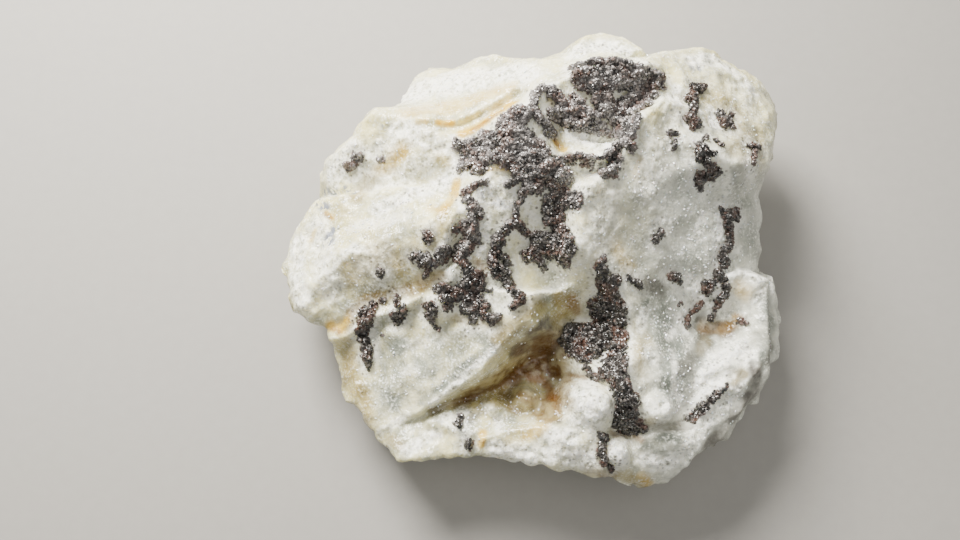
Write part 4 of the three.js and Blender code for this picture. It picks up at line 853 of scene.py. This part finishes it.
def even_points(outline, step):
    """Points at even steps along a closed outline, running anticlockwise."""
    corners = np.array(outline[::-1] + outline[-1:], float)
    lengths = np.hypot(*np.diff(corners, axis=0).T)
    along = np.concatenate([[0], np.cumsum(lengths)])
    count = int(round(along[-1] / step))
    spots = np.arange(count) * along[-1] / count
    return np.stack([np.interp(spots, along, corners[:, k]) for k in (0, 1)], axis=1)


def ragged_rim(rim):
    """The rim with small bites and points, each less than a millimetre."""
    x, y = rim.T
    jag = 0.9 * (0.35 - chips(x, y, 0, 2, 3)) + 0.15 * noise(x / 0.7, y / 0.7, 4.5)
    return rim * (1 + np.clip(jag, -0.6, 0.3) / np.hypot(x, y))[:, None]


def trim_side(x, y, z, ease):
    """Cuts the sides back to the broken faces; ease from 0 to 1 lets the cut grow below the rim."""
    for turn, tilt, reach in SIDE_FACES:
        a, b = math.radians(turn), math.radians(tilt)
        over = x * math.cos(a) * math.cos(b) + y * math.sin(a) * math.cos(b) - z * math.sin(b) - reach
        over = ease * np.maximum(0, over) / math.cos(b)
        x, y = x - over * math.cos(a), y - over * math.sin(a)
    return x, y


def side_rows(rim, rim_height, rows):
    """Rows of points from the rim down to the base, as in the part's source, with small relief."""
    centre = np.array(BASE_CENTRE)
    for row in range(1, rows + 1):
        share = row / rows
        bend = share * math.pi / 2
        z = rim_height * (1 - math.sin(bend))
        narrow = 1 - (1 - BASE_SCALE) * (1 - math.cos(bend)) ** 0.8
        x, y = (centre + (rim - centre) * narrow).T
        away = np.hypot(x - centre[0], y - centre[1])
        push = sum(height * noise(x / size, y / size, z / size) for height, size in BULGES)
        push = min(1, 3 * share) * push
        x, y = x + (x - centre[0]) / away * push, y + (y - centre[1]) / away * push
        x, y = trim_side(x, y, z, min(1, 3 * share))
        small = min(1, 4 * share) * relief(x, y, z, 0.2, 0.2)
        x, y = x + (x - centre[0]) / away * small, y + (y - centre[1]) / away * small
        yield np.stack([x, y, np.zeros_like(x) if row == rows else z], axis=1)


def quartz_mesh(step, rim_step, rows):
    """The quartz: upper side on a fine grid, sides in rows down from the rim, and a flat base."""
    even = even_points(OUTLINE, rim_step)
    rim = ragged_rim(even)
    n = len(rim)
    far = int(REACH / step)
    i, j = np.meshgrid(np.arange(-far, far + 1), np.arange(-far, far + 1), indexing="ij")
    gx, gy = i * step, j * step
    full = whole_cells(distance_to(rim.tolist(), gx, gy) < -0.6 * step)
    cells = large_patches(full, full.sum() // 2)
    used, _ = cell_corners(cells)
    number = numbered(used, n)
    px = np.concatenate([rim[:, 0], gx[used]])
    py = np.concatenate([rim[:, 1], gy[used]])
    pz = top_height(px, py)
    pz[:n] = top_height(*even.T)
    clear_of_crust = np.clip(0.1 + nearest_crust(px, py) / 1.2, 0, 1)
    pz = pz + clear_of_crust * upper_relief(px, py, pz)

    def on_cells(spots):
        """Whether spots lie on the cells of the grid."""
        a, b = (np.floor(spots / step) + far).astype(int).T
        return cells[a, b]

    loop = cell_loop(set(map(tuple, np.argwhere(cells).tolist())))
    band = fill_band(rim.tolist(), [(gx[p], gy[p]) for p in loop], on_cells)
    names = np.concatenate([np.arange(n), [number[p] for p in loop]])
    points = [np.stack([px, py, pz], axis=1)]
    faces = cell_quads(cells, number).tolist() + names[band].tolist()
    above, total = np.arange(n), len(px)
    for row in side_rows(rim, pz[:n], rows):
        below = total + np.arange(n)
        points.append(row)
        faces += np.stack([above, below, np.roll(below, -1), np.roll(above, -1)], axis=1).tolist()
        above, total = below, total + n
    points.append([[*BASE_CENTRE, 0]])
    faces += [[b, a, total] for a, b in zip(above, np.roll(above, -1))]
    return np.concatenate(points), faces


# The crusts

def join_corners(mask):
    """Fills a cell wherever two cells of a mask touch by a corner alone."""
    for _ in range(3):
        for side in (-1, 1):
            both = np.roll(mask, (-side, -1), (0, 1)) & mask
            alone = both & ~np.roll(mask, -side, 0) & ~np.roll(mask, -1, 1)
            mask |= np.roll(alone, side, 0)
    return mask


def crust_bed(runs, step, thick):
    """The body of a crust: a rough slab that follows the quartz, on the cells that the crust covers."""
    ends = np.array([spot for _, *spots in runs for spot in spots], float)
    low, high = ends.min(axis=0) - 2, ends.max(axis=0) + 2
    i, j = np.meshgrid(*(np.arange(int(size / step)) for size in high - low), indexing="ij")
    mx, my = low[0] + (i + 0.5) * step, low[1] + (j + 0.5) * step
    ragged = 0.12 * noise(mx / 0.9, my / 0.9, 3.5) + 0.18 * noise(mx / 0.4, my / 0.4, 8.5)
    on_crust = crust_reach(runs, mx, my) + ragged < -0.04
    on_quartz = distance_to(OUTLINE, mx, my) < -CRUST_MARGIN
    mask = join_corners(large_patches(on_crust & on_quartz, SMALLEST_PATCH))
    used, inner = cell_corners(mask)
    number = numbered(used)
    ci, cj = np.argwhere(used).T
    count = len(ci)
    x = low[0] + (ci + 0.5 * noise(ci * 0.9, cj * 0.9, 1.5)) * step
    y = low[1] + (cj + 0.5 * noise(ci * 0.9, cj * 0.9, 6.5)) * step
    ground = top_height(x, y)
    depth = np.clip(0.2 - crust_reach(runs, x, y) / 0.6, 0, 1) ** 0.5
    lump = 1.5 * (0.35 - chips(x, y, ground, 1.05, 5)) + 0.2 * noise(x / 0.4, y / 0.4, 9.5)
    top = ground + 0.2 + thick * depth * (1 + lump) * inner[ci, cj]
    points = np.concatenate([np.stack([x, y, z], axis=1) for z in (top, ground - CRUST_ROOT)])
    faces = []
    padded = np.pad(mask, 1)
    for (a, b), ring in zip(np.argwhere(mask), cell_quads(mask, number)):
        faces += [ring, ring[::-1] + count]
        beside = ((a, b - 1), (a + 1, b), (a, b + 1), (a - 1, b))
        for side, (c, d) in enumerate(beside):
            if not padded[c + 1, d + 1]:
                p, q = ring[side], ring[(side + 1) % 4]
                faces.append([p, p + count, q + count, q])
    return points, faces


# Materials

def hex_colour(code):
    """Linear colour from an sRGB hex value such as 'E6E3D8'."""
    parts = [int(code[k:k + 2], 16) / 255 for k in (0, 2, 4)]
    return tuple(p / 12.92 if p <= 0.04045 else ((p + 0.055) / 1.055) ** 2.4 for p in parts) + (1.0,)


def add_node(tree, kind, *given, inputs=None, output=0, **settings):
    """Adds a node, sets its properties, links or sets its inputs by order or name, and gives an output."""
    node = tree.nodes.new(kind)
    for key, value in settings.items():
        setattr(node, key, value)
    for key, value in (*enumerate(given), *(inputs or {}).items()):
        if isinstance(value, bpy.types.NodeSocket):
            tree.links.new(value, node.inputs[key])
        else:
            node.inputs[key].default_value = value
    return node.outputs[output] if node.outputs else None


def new_material(name):
    """An empty material, and the function that adds nodes to it."""
    material = bpy.data.materials.new(name)
    material.use_nodes = True
    material.node_tree.nodes.clear()
    return material, functools.partial(add_node, material.node_tree)


def add_patterns(node, place, patterns):
    """Cloudy patterns by name, each with its size in mm, its detail and its roughness."""
    found = {}
    for name, (size, detail, roughness) in patterns.items():
        looks = {"Vector": place, "Scale": 1 / (size * MM), "Detail": detail, "Roughness": roughness}
        found[name] = node("ShaderNodeTexNoise", inputs=looks)
    return found


def lay_colours(node, ground, layers):
    """Lays colours over a first one, each by the product of its shares."""
    colour = hex_colour(ground)
    for code, share, *others in layers:
        for other in others:
            share = node(MATH, share, other, operation="MULTIPLY")
        mixed = {0: share, 6: colour, 7: hex_colour(code)}
        colour = node("ShaderNodeMix", inputs=mixed, output=2, data_type="RGBA")
    return colour


def broken_normal(node, place, grain, tilt, bump):
    """Normal of a surface made of small broken grains, each turned its own way by up to the tilt."""
    grains = node("ShaderNodeTexVoronoi", inputs={"Vector": place, "Scale": 1 / grain}, output="Color")
    middle = node("ShaderNodeVectorMath", grains, (0.5, 0.5, 0.5), operation="SUBTRACT")
    turn = node("ShaderNodeVectorMath", middle, inputs={"Scale": tilt}, operation="SCALE")
    total = node("ShaderNodeVectorMath", bump, turn, operation="ADD")
    return node("ShaderNodeVectorMath", total, operation="NORMALIZE")


def milky_quartz(settings):
    """Milky vein quartz, broken by hand: greasy on the faces, sugary where fine grains cover it.

    Tiny fluid bubbles make it white and slightly see-through; iron water has stained its cracks. Shade in its
    hollows, gullies and under its steps is painted into its colour."""
    material, node = new_material("milky vein quartz, freshly broken")
    place = node("ShaderNodeTexCoord", output="Object")
    spot = node("ShaderNodeSeparateXYZ", place).node.outputs
    share = {}
    for kind in (*FINISHES, "pepper"):
        share[kind] = node("ShaderNodeAttribute", output="Fac", attribute_name=kind)
    pattern = add_patterns(node, place, QUARTZ_PATTERNS)

    # Right of the middle the quartz is free of iron, except near the top edge
    right = node(RANGE, spot["X"], 2 * MM, 16 * MM)
    below = node(RANGE, spot["Y"], 15 * MM, 7 * MM)
    layers = [
        (settings.white, node(RANGE, pattern["cloud"], 0.38, 0.62)),
        (settings.neutral, right, below, 0.75),
        (settings.grey, node(RANGE, pattern["wisp"], 0.47, 0.62), 0.5),
    ]
    patchy = node(RANGE, pattern["wisp"], 0.36, 0.56, 0.55, 1.0)
    # Smoky, tan and brown are largely painted shade in hollows, gullies and under steps; grey and yellow are
    # the stone's own colour
    for kind in ("grey", "smoky", "tan", "yellow", "brown"):
        layers.append((getattr(settings, kind), share[kind], patchy))
    layers.append((settings.rust, share["rust"]))

    # Sugary grains and white film, thin where iron has stained the stone and where shade is painted in
    stain = node(MATH, share["tan"], 0.6, operation="MULTIPLY")
    for kind in ("yellow", "rust", "brown", "smoky"):
        stain = node(MATH, stain, share[kind], operation="MAXIMUM")
    clean = node(RANGE, stain, 0.1, 0.8, 1.0, 0.1)
    sugary = node(MATH, node(RANGE, pattern["blot"], 0.4, 0.6, 0.25, 1.0), clean, operation="MULTIPLY")
    film = node(MATH, share["white"], clean, operation="MULTIPLY")
    layers += [
        (settings.grey, node(RANGE, pattern["mottle"], 0.42, 0.7, 0.0, 0.5), sugary),
        (settings.sugar, node(RANGE, pattern["speck"], 0.5, 0.66, 0.0, 0.85), sugary),
        (settings.sugar, film, node(RANGE, pattern["mottle"], 0.32, 0.52, 0.3, 1.0)),
        (settings.grey, film, node(RANGE, pattern["mottle"], 0.48, 0.38, 0.0, 0.5)),
    ]

    # Dark pores and bluish specks, in some of the grains
    grains = node("ShaderNodeTexVoronoi", inputs={"Vector": place, "Scale": 1 / PORE_SPACING})
    pick = node("ShaderNodeSeparateColor", grains.node.outputs["Color"]).node.outputs
    pore = node(RANGE, grains, 0.42, 0.24)
    layers += [
        (settings.pepper, node(RANGE, pick[0], 0.66, 0.7), pore, share["pepper"]),
        (settings.steel, node(RANGE, pick[1], 0.45, 0.55), share["steel"]),
    ]

    fine = node("ShaderNodeBump", inputs={"Strength": 0.8, "Distance": 0.1 * MM, "Height": pattern["speck"]})
    tilt = node(RANGE, share["white"], 0.0, 1.0, 0.25, 0.7)
    surface = node("ShaderNodeBsdfPrincipled", inputs={
        "Base Color": lay_colours(node, settings.cream, layers),
        "Roughness": node(RANGE, share["white"], 0.0, 1.0, 0.2, 0.5),
        "IOR": QUARTZ_IOR,
        "Normal": broken_normal(node, place, 0.3 * MM, tilt, fine),
        "Subsurface Weight": settings.depth,
        "Subsurface Scale": 1.1 * MM,
        "Subsurface Radius": (1.0, 0.95, 0.85),
    })
    node("ShaderNodeOutputMaterial", surface)
    return material


def dark_sphalerite(settings):
    """Sphalerite, rich in iron: small grown crystals, resinous, nearly black with red-brown zones."""
    material, node = new_material("iron-rich sphalerite, fine crystals")
    place = node("ShaderNodeTexCoord", output="Object")
    spot = node("ShaderNodeSeparateXYZ", place).node.outputs
    grain = node("ShaderNodeNewGeometry", output="Random Per Island")
    pattern = add_patterns(node, place, SPHALERITE_PATTERNS)

    # Painted light and sheen: the crusts are painted greyer and paler towards the top edge, where the light
    # falls more strongly, but not the small ones far to the right
    high = node(RANGE, spot["Y"], -5 * MM, 12 * MM)
    toplit = node(MATH, high, node(RANGE, spot["X"], 15 * MM, 13 * MM), operation="MULTIPLY")
    paler = node(RANGE, toplit, 0.0, 1.0, 0.22, 1.0)
    glinting = node(RANGE, pattern["zone"], 0.4, 0.56, 0.25, 1.0)
    layers = [
        (settings.brown, node(RANGE, grain, 0.2, 0.7)),
        (settings.grey, node(RANGE, pattern["cloud"], 0.38, 0.6, 0.1, 0.85), toplit),
        (settings.red, node(RANGE, pattern["zone"], 0.5, 0.4), node(RANGE, grain, 0.3, 0.5, 0.1, 0.6)),
        # Painted glints: a few grains are painted pale grey, more so towards the top edge, in place of facets
        # that flash
        (settings.light, node(RANGE, grain, 0.76, 0.79), paler, glinting),
        (settings.red, node(RANGE, grain, 0.95, 0.97), 0.7),
    ]
    fine = node("ShaderNodeBump", inputs={"Strength": 0.6, "Distance": 0.05 * MM, "Height": pattern["speck"]})
    surface = node("ShaderNodeBsdfPrincipled", inputs={
        "Base Color": lay_colours(node, settings.dark, layers),
        "Roughness": node(RANGE, grain, 0.0, 1.0, 0.25, 0.5),
        "IOR": SPHALERITE_IOR,
        "Specular IOR Level": 0.38,
        "Normal": broken_normal(node, place, 0.2 * MM, 0.8, fine),
    })
    node("ShaderNodeOutputMaterial", surface)
    return material


def clear_druse(settings):
    """Tiny clear quartz crystals on the broken faces: glassy facets that flash white, their colour also
    painted white in patches as painted glints.
    """
    material, node = new_material("drusy quartz, glassy facets")
    pattern = add_patterns(node, node("ShaderNodeTexCoord", output="Object"), DRUSE_PATTERNS)
    # Painted glints: patches of the crystals painted white
    glint_white = node(RANGE, pattern["cloud"], 0.4, 0.6)
    surface = node("ShaderNodeBsdfPrincipled", inputs={
        "Base Color": lay_colours(node, settings.neutral, [("FFFFFF", glint_white)]),
        "Roughness": 0.18,
        "IOR": QUARTZ_IOR,
        "Subsurface Weight": 0.3 * settings.depth,
        "Subsurface Scale": 0.3 * MM,
    })
    node("ShaderNodeOutputMaterial", surface)
    return material


def pale_floor(settings):
    """Matt painted board under the specimen, with a trace of tooth."""
    material, node = new_material("matt painted board")
    pattern = add_patterns(node, node("ShaderNodeTexCoord", output="Object"), FLOOR_PATTERNS)
    colour = lay_colours(node, settings.floor, [(settings.floor_light, pattern["tooth"])])
    surface = node("ShaderNodeBsdfPrincipled", inputs={"Base Color": colour, "Roughness": 0.8})
    node("ShaderNodeOutputMaterial", surface)
    return material


# Scattered crystals

def crystal_points(kind):
    """Corner points of a small crystal about 1 across, centred on its foot."""
    if kind == "tetrahedron":
        corners = [(0, 0, 0.7), (0.55, 0, -0.3), (-0.3, 0.5, -0.3), (-0.3, -0.5, -0.3)]
        return corners + [(0.2, 0.25, 0.3), (0.2, -0.3, 0.25)]
    if kind == "dodecahedron":
        cube = [(x, y, z) for x in (-0.3, 0.3) for y in (-0.3, 0.3) for z in (-0.3, 0.3)]
        tips = [(r, 0, 0) for r in (0.58, -0.58)] + [(0, r, 0) for r in (0.58, -0.58)]
        return cube + tips + [(0, 0, r) for r in (0.58, -0.58)]
    turns = [math.radians(60 * k) for k in range(6)]
    ring = [(math.cos(turn) * 0.32, math.sin(turn) * 0.32) for turn in turns]
    return [(x, y, z) for z in (-0.2, 0.35) for x, y in ring] + [(0.05, 0, 0.72)]


def crystal_object(kind):
    """A crystal shape for the scatter trees; it isn't part of the model and is removed after use."""
    mesh = bmesh.new()
    for point in crystal_points(kind):
        mesh.verts.new(point)
    bmesh.ops.convex_hull(mesh, input=mesh.verts)
    bmesh.ops.recalc_face_normals(mesh, faces=mesh.faces)
    data = bpy.data.meshes.new("shape_" + kind)
    mesh.to_mesh(data)
    mesh.free()
    shape = bpy.data.objects.new("shape_" + kind, data)
    bpy.context.scene.collection.objects.link(shape)
    return shape


def scatter_tree(name, shapes, material, keep_bed):
    """Scatters crystals over a bed where it asks for cover, at random turns and sizes, from a fixed seed."""
    tree = bpy.data.node_groups.new(name, "GeometryNodeTree")
    node = functools.partial(add_node, tree)
    tree.interface.new_socket("Geometry", in_out="INPUT", socket_type="NodeSocketGeometry")
    for label, (kind, start) in SCATTER_INPUTS.items():
        tree.interface.new_socket(label, in_out="INPUT", socket_type=kind).default_value = start
    tree.interface.new_socket("Geometry", in_out="OUTPUT", socket_type="NodeSocketGeometry")
    given = tree.nodes.new("NodeGroupInput").outputs
    cover = node("GeometryNodeInputNamedAttribute", inputs={"Name": "cover"}, data_type="FLOAT")
    wanted = node(MATH, cover, given["Per square metre"], operation="MULTIPLY")
    spread = {"Mesh": given["Geometry"], "Density": wanted, "Seed": given["Seed"]}
    points = node("GeometryNodeDistributePointsOnFaces", inputs=spread, distribute_method="RANDOM")
    kinds = node("GeometryNodeJoinGeometry")
    for shape in shapes:
        source = {"Object": shape, "As Instance": True}
        info = node("GeometryNodeObjectInfo", inputs=source, output="Geometry")
        tree.links.new(info, kinds.node.inputs[0])
    tilt = node("ShaderNodeCombineXYZ", given["Tilt"], given["Tilt"], HALF_TURN)
    back = node("ShaderNodeVectorMath", tilt, inputs={"Scale": -1.0}, operation="SCALE")
    ends = {0: back, 1: tilt, "Seed": given["Seed"]}
    turn = node("FunctionNodeRandomValue", inputs=ends, data_type="FLOAT_VECTOR")
    outward = points.node.outputs["Rotation"]
    turned = node("FunctionNodeRotateRotation", outward, turn, rotation_space="LOCAL")
    ends = {2: given["Smallest"], 3: given["Largest"], "Seed": given["Seed"]}
    size = node("FunctionNodeRandomValue", inputs=ends, output=1, data_type="FLOAT")
    placed = node("GeometryNodeInstanceOnPoints", inputs={
        "Points": points, "Instance": kinds, "Pick Instance": True, "Rotation": turned, "Scale": size})
    joined = node("GeometryNodeJoinGeometry", placed)
    if keep_bed:
        tree.links.new(given["Geometry"], joined.node.inputs[0])
    real = node("GeometryNodeRealizeInstances", joined)
    dressed = node("GeometryNodeSetMaterial", inputs={"Geometry": real, "Material": material})
    node("NodeGroupOutput", dressed)
    return tree


def grow_crystals(bed, tree, **inputs):
    """Runs a scatter tree on a bed and leaves a plain mesh."""
    modifier = bed.modifiers.new("crystals", "NODES")
    modifier.node_group = tree
    for item in tree.interface.items_tree:
        key = item.name.replace(" ", "_").lower()
        if item.in_out == "INPUT" and key in inputs:
            modifier[item.identifier] = inputs[key]
    ready = bed.evaluated_get(bpy.context.evaluated_depsgraph_get())
    mesh = bpy.data.meshes.new_from_object(ready)
    bed.modifiers.remove(modifier)
    old = bed.data
    bed.data = mesh
    mesh.name = bed.name
    bpy.data.meshes.remove(old)


def drop_shapes(shapes, tree):
    """Removes the helper crystals and their tree."""
    bpy.data.node_groups.remove(tree)
    for shape in shapes:
        data = shape.data
        bpy.data.objects.remove(shape)
        bpy.data.meshes.remove(data)


# What a user would change

def size_setting(name, use, default, low, high):
    """A size in mm, or a number for each square mm, that a user can change."""
    return bpy.props.FloatProperty(name=name, description=use, default=default, min=low, max=high)


def colour_setting(name, use, code):
    """A colour that a user can change, kept as an sRGB hex value."""
    return bpy.props.StringProperty(name=name, description="sRGB hex of " + use, default=code)


class QuartzSettings(bpy.types.PropertyGroup):
    """Mesh size and colours of the quartz"""
    step: size_setting("Grid", "Spacing of the points on the upper side, in mm", 0.24, 0.15, 2)
    rim_step: size_setting("Rim", "Spacing of the points along the rim, in mm", 0.3, 0.15, 2)
    rows: bpy.props.IntProperty(
        name="Side rows", description="Rows of points from the rim to the base", default=44, min=4, max=120)
    depth: bpy.props.FloatProperty(
        name="Milkiness", description="Share of light that goes into the stone", default=0.6, min=0, max=1,
        subtype="FACTOR")
    cream: colour_setting("Cream", "the cream quartz", "D8D094")
    white: colour_setting("White", "the whitest quartz", "E8E4BE")
    neutral: colour_setting("Neutral", "the quartz free of iron", "DBDEDA")
    sugar: colour_setting("Sugar", "the sugary grains", "FBFBF0")
    grey: colour_setting("Grey", "the clear grey bands", "80867C")
    brown: colour_setting("Brown", "the shaded brown hollow", "60400E")
    # Painted shade in dark grey, over the darker clear quartz
    smoky: colour_setting("Smoky", "the darker clear places", "55504A")
    # Painted shade in beige
    tan: colour_setting("Tan", "the beige bands", "968650")
    yellow: colour_setting("Yellow", "the yellow iron stain", "CCA41C")
    rust: colour_setting("Rust", "the brown iron stain", "7A4A0E")
    pepper: colour_setting("Pepper", "the dark specks", "3A302A")
    steel: colour_setting("Steel", "the bluish grey specks", "7F848C")


class SphaleriteSettings(bpy.types.PropertyGroup):
    """Grain size and colours of the sphalerite"""
    step: size_setting("Grid", "Spacing of the points on a crust, in mm", 0.2, 0.1, 2)
    thick: size_setting("Thickness", "Thickness of a crust, in mm", 0.8, 0.2, 3)
    per_mm2: size_setting("Grains", "Grains on a square millimetre", 12, 0.1, 30)
    smallest: size_setting("Smallest grain", "Width of the smallest grains, in mm", 0.15, 0.1, 2)
    largest: size_setting("Largest grain", "Width of the largest grains, in mm", 0.5, 0.1, 3)
    seed: bpy.props.IntProperty(name="Seed", description="Seed of the scatter", default=11, min=0)
    dark: colour_setting("Dark", "the darkest grains", "0B0908")
    brown: colour_setting("Brown", "the brown grains", "201812")
    # Painted light and sheen: grey laid on the crusts towards the top edge
    grey: colour_setting("Grey", "the dusty grains", "7A7675")
    # Painted glints: the pale grey of the grains that stand in for flashing facets
    light: colour_setting("Light", "the palest grains", "A29B96")
    red: colour_setting("Red", "the red-brown grains", "5C3826")


class StageSettings(bpy.types.PropertyGroup):
    """Floor, light and camera"""
    floor: colour_setting("Floor", "the floor", "94928D")
    floor_light: colour_setting("Floor flecks", "the flecks of the floor", "9B9994")
    key: bpy.props.FloatProperty(
        name="Window", description="Power of the window light", default=1.8, min=0, max=50, unit="POWER")
    fill: bpy.props.FloatProperty(
        name="Fill", description="Strength of the light from all round", default=0.3, min=0, max=5)


# Operators, one for each piece or group of pieces

class QUARTZ_OT_stone(bpy.types.Operator):
    """Builds the lump of milky quartz"""
    bl_idname = "quartz.stone"
    bl_label = "Quartz"

    def execute(self, context):
        settings = context.scene.quartz_settings
        points, faces = quartz_mesh(settings.step, settings.rim_step, settings.rows)
        stone = mesh_object("quartz_stone", points, faces)
        x, y = points[:, 0], points[:, 1]
        shares = {kind: finish_share(kind, x, y) for kind in FINISHES}
        shares["white"] = np.maximum(shares["white"], 0.75 * crust_halo(x, y, 1.1))
        shares["pepper"] = np.maximum(0.6 * shares["white"], 0.8 * crust_halo(x, y, 1.5))
        for kind, share in shares.items():
            store_share(stone.data, kind, share)
        stone.data.polygons.foreach_set("use_smooth", [True] * len(stone.data.polygons))
        stone.data.materials.append(milky_quartz(settings))
        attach(stone, "root")
        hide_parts("quartz")
        return {"FINISHED"}


class QUARTZ_OT_druse(bpy.types.Operator):
    """Scatters small clear quartz crystals on the broken faces"""
    bl_idname = "quartz.druse"
    bl_label = "Drusy quartz"

    def execute(self, context):
        settings = context.scene.quartz_settings
        i, j = np.meshgrid(*(np.arange(low, high) for low, high in DRUSE_CELLS), indexing="ij")
        x, y = i * DRUSE_GRID, j * DRUSE_GRID
        free = (distance_to(OUTLINE, x, y) < -DRUSE_MARGIN) & (nearest_crust(x, y) > -0.1)
        z = top_height(x, y)
        z = z + upper_relief(x, y, z)
        cover = 0.05 + 0.15 * finish_share("white", x, y) + glitter_share(x, y)
        faces = cell_quads(whole_cells(free), numbered(free))
        points = np.stack([x[free], y[free], z[free] - DRUSE_ROOT], axis=1)
        bed = mesh_object("quartz_druse", points, faces)
        store_share(bed.data, "cover", np.minimum(1, cover[free]))
        shapes = [crystal_object("point")]
        tree = scatter_tree("druse scatter", shapes, clear_druse(settings), False)
        grow_crystals(bed, tree, **DRUSE_CRYSTALS)
        drop_shapes(shapes, tree)
        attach(bed, "root")
        return {"FINISHED"}


class QUARTZ_OT_crusts(bpy.types.Operator):
    """Builds the crusts of sphalerite, each a rough bed covered with small crystals"""
    bl_idname = "quartz.crusts"
    bl_label = "Sphalerite crusts"

    def execute(self, context):
        settings = context.scene.sphalerite_settings
        shapes = [crystal_object("tetrahedron"), crystal_object("dodecahedron")]
        tree = scatter_tree("sphalerite scatter", shapes, dark_sphalerite(settings), True)
        for turn, name in enumerate(CRUSTS):
            piece = self.grow_crust(settings, tree, name + "_grains", CRUSTS[name], settings.thick, turn)
            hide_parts(name)
        self.grow_crust(settings, tree, "sphalerite_specks", SPECKS, 0.4 * settings.thick, SPECK_TURN)
        drop_shapes(shapes, tree)
        return {"FINISHED"}

    def grow_crust(self, settings, tree, name, runs, thick, turn):
        """One crust with its crystals"""
        points, faces = crust_bed(runs, settings.step, thick)
        bed = mesh_object(name, points, faces)
        upper = np.arange(len(points)) < len(points) // 2
        store_share(bed.data, "cover", upper.astype(float))
        grow_crystals(bed, tree, per_square_metre=settings.per_mm2 * 1e6, smallest=settings.smallest * MM,
                      largest=settings.largest * MM, seed=settings.seed + turn, tilt=ANY_TILT)
        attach(bed, "root")
        return bed


class QUARTZ_OT_stage(bpy.types.Operator):
    """Adds the floor, the soft studio light and the camera at the photograph's angle"""
    bl_idname = "quartz.stage"
    bl_label = "Stage"

    def execute(self, context):
        settings = context.scene.stage_settings
        corners = [(-FLOOR, -FLOOR, 0), (FLOOR, -FLOOR, 0), (FLOOR, FLOOR, 0), (-FLOOR, FLOOR, 0)]
        floor = mesh_object("floor", corners, [(0, 1, 2, 3)])
        floor.data.materials.append(pale_floor(settings))
        for name, (place, size, share) in LIGHTS.items():
            self.add_light(context, name, place, size, settings.key * share)
        world = bpy.data.worlds.new("studio")
        world.use_nodes = True
        background = world.node_tree.nodes["Background"]
        background.inputs["Color"].default_value = hex_colour(ROOM_COLOUR)
        background.inputs["Strength"].default_value = settings.fill
        context.scene.world = world
        self.add_camera(context)
        return {"FINISHED"}

    def add_light(self, context, name, place, size, power):
        """A square soft light that faces the specimen"""
        data = bpy.data.lights.new(name, "AREA")
        data.size = size * MM
        data.energy = power
        data.color = hex_colour(LIGHT_COLOUR)[:3]
        light = bpy.data.objects.new(name, data)
        light.location = Vector(place) * MM
        aim = Vector(LIGHT_AIM) * MM - light.location
        light.rotation_euler = aim.to_track_quat("-Z", "Y").to_euler()
        context.scene.collection.objects.link(light)

    def add_camera(self, context):
        """Looks down as the photograph does, a little off the vertical"""
        data = bpy.data.cameras.new("camera")
        data.sensor_width = SENSOR
        data.lens = LENS
        data.clip_start = NEAREST_SEEN * MM
        camera = bpy.data.objects.new("camera", data)
        camera.location = (Vector(CAMERA_PLACE) + Vector(PLACE)) * MM
        camera.rotation_euler = (math.radians(CAMERA_LEAN), 0, 0)
        context.scene.collection.objects.link(camera)
        context.scene.camera = camera


class QUARTZ_PT_panel(bpy.types.Panel):
    """Lists the steps that build the specimen"""
    bl_idname = "QUARTZ_PT_panel"
    bl_label = "Quartz with sphalerite"
    bl_space_type = "VIEW_3D"
    bl_region_type = "UI"
    bl_category = "Quartz"

    def draw(self, context):
        for step in STEPS:
            self.layout.operator(step.bl_idname)
        for name in SETTINGS:
            group = getattr(context.scene, name)
            box = self.layout.box()
            for key in type(group).__annotations__:
                box.prop(group, key)


SETTINGS = {
    "quartz_settings": QuartzSettings, "sphalerite_settings": SphaleriteSettings,
    "stage_settings": StageSettings,
}
STEPS = (QUARTZ_OT_stage, QUARTZ_OT_stone, QUARTZ_OT_druse, QUARTZ_OT_crusts)


def register():
    for kind in (*SETTINGS.values(), *STEPS, QUARTZ_PT_panel):
        bpy.utils.register_class(kind)
    for name, kind in SETTINGS.items():
        setattr(bpy.types.Scene, name, bpy.props.PointerProperty(type=kind))


def unregister():
    for name in SETTINGS:
        delattr(bpy.types.Scene, name)
    for kind in (QUARTZ_PT_panel, *reversed(STEPS), *reversed(SETTINGS.values())):
        bpy.utils.unregister_class(kind)


def main():
    register()
    bpy.ops.quartz.stage()
    bpy.ops.quartz.stone()
    bpy.ops.quartz.druse()
    bpy.ops.quartz.crusts()


if __name__ == "__main__":
    main()
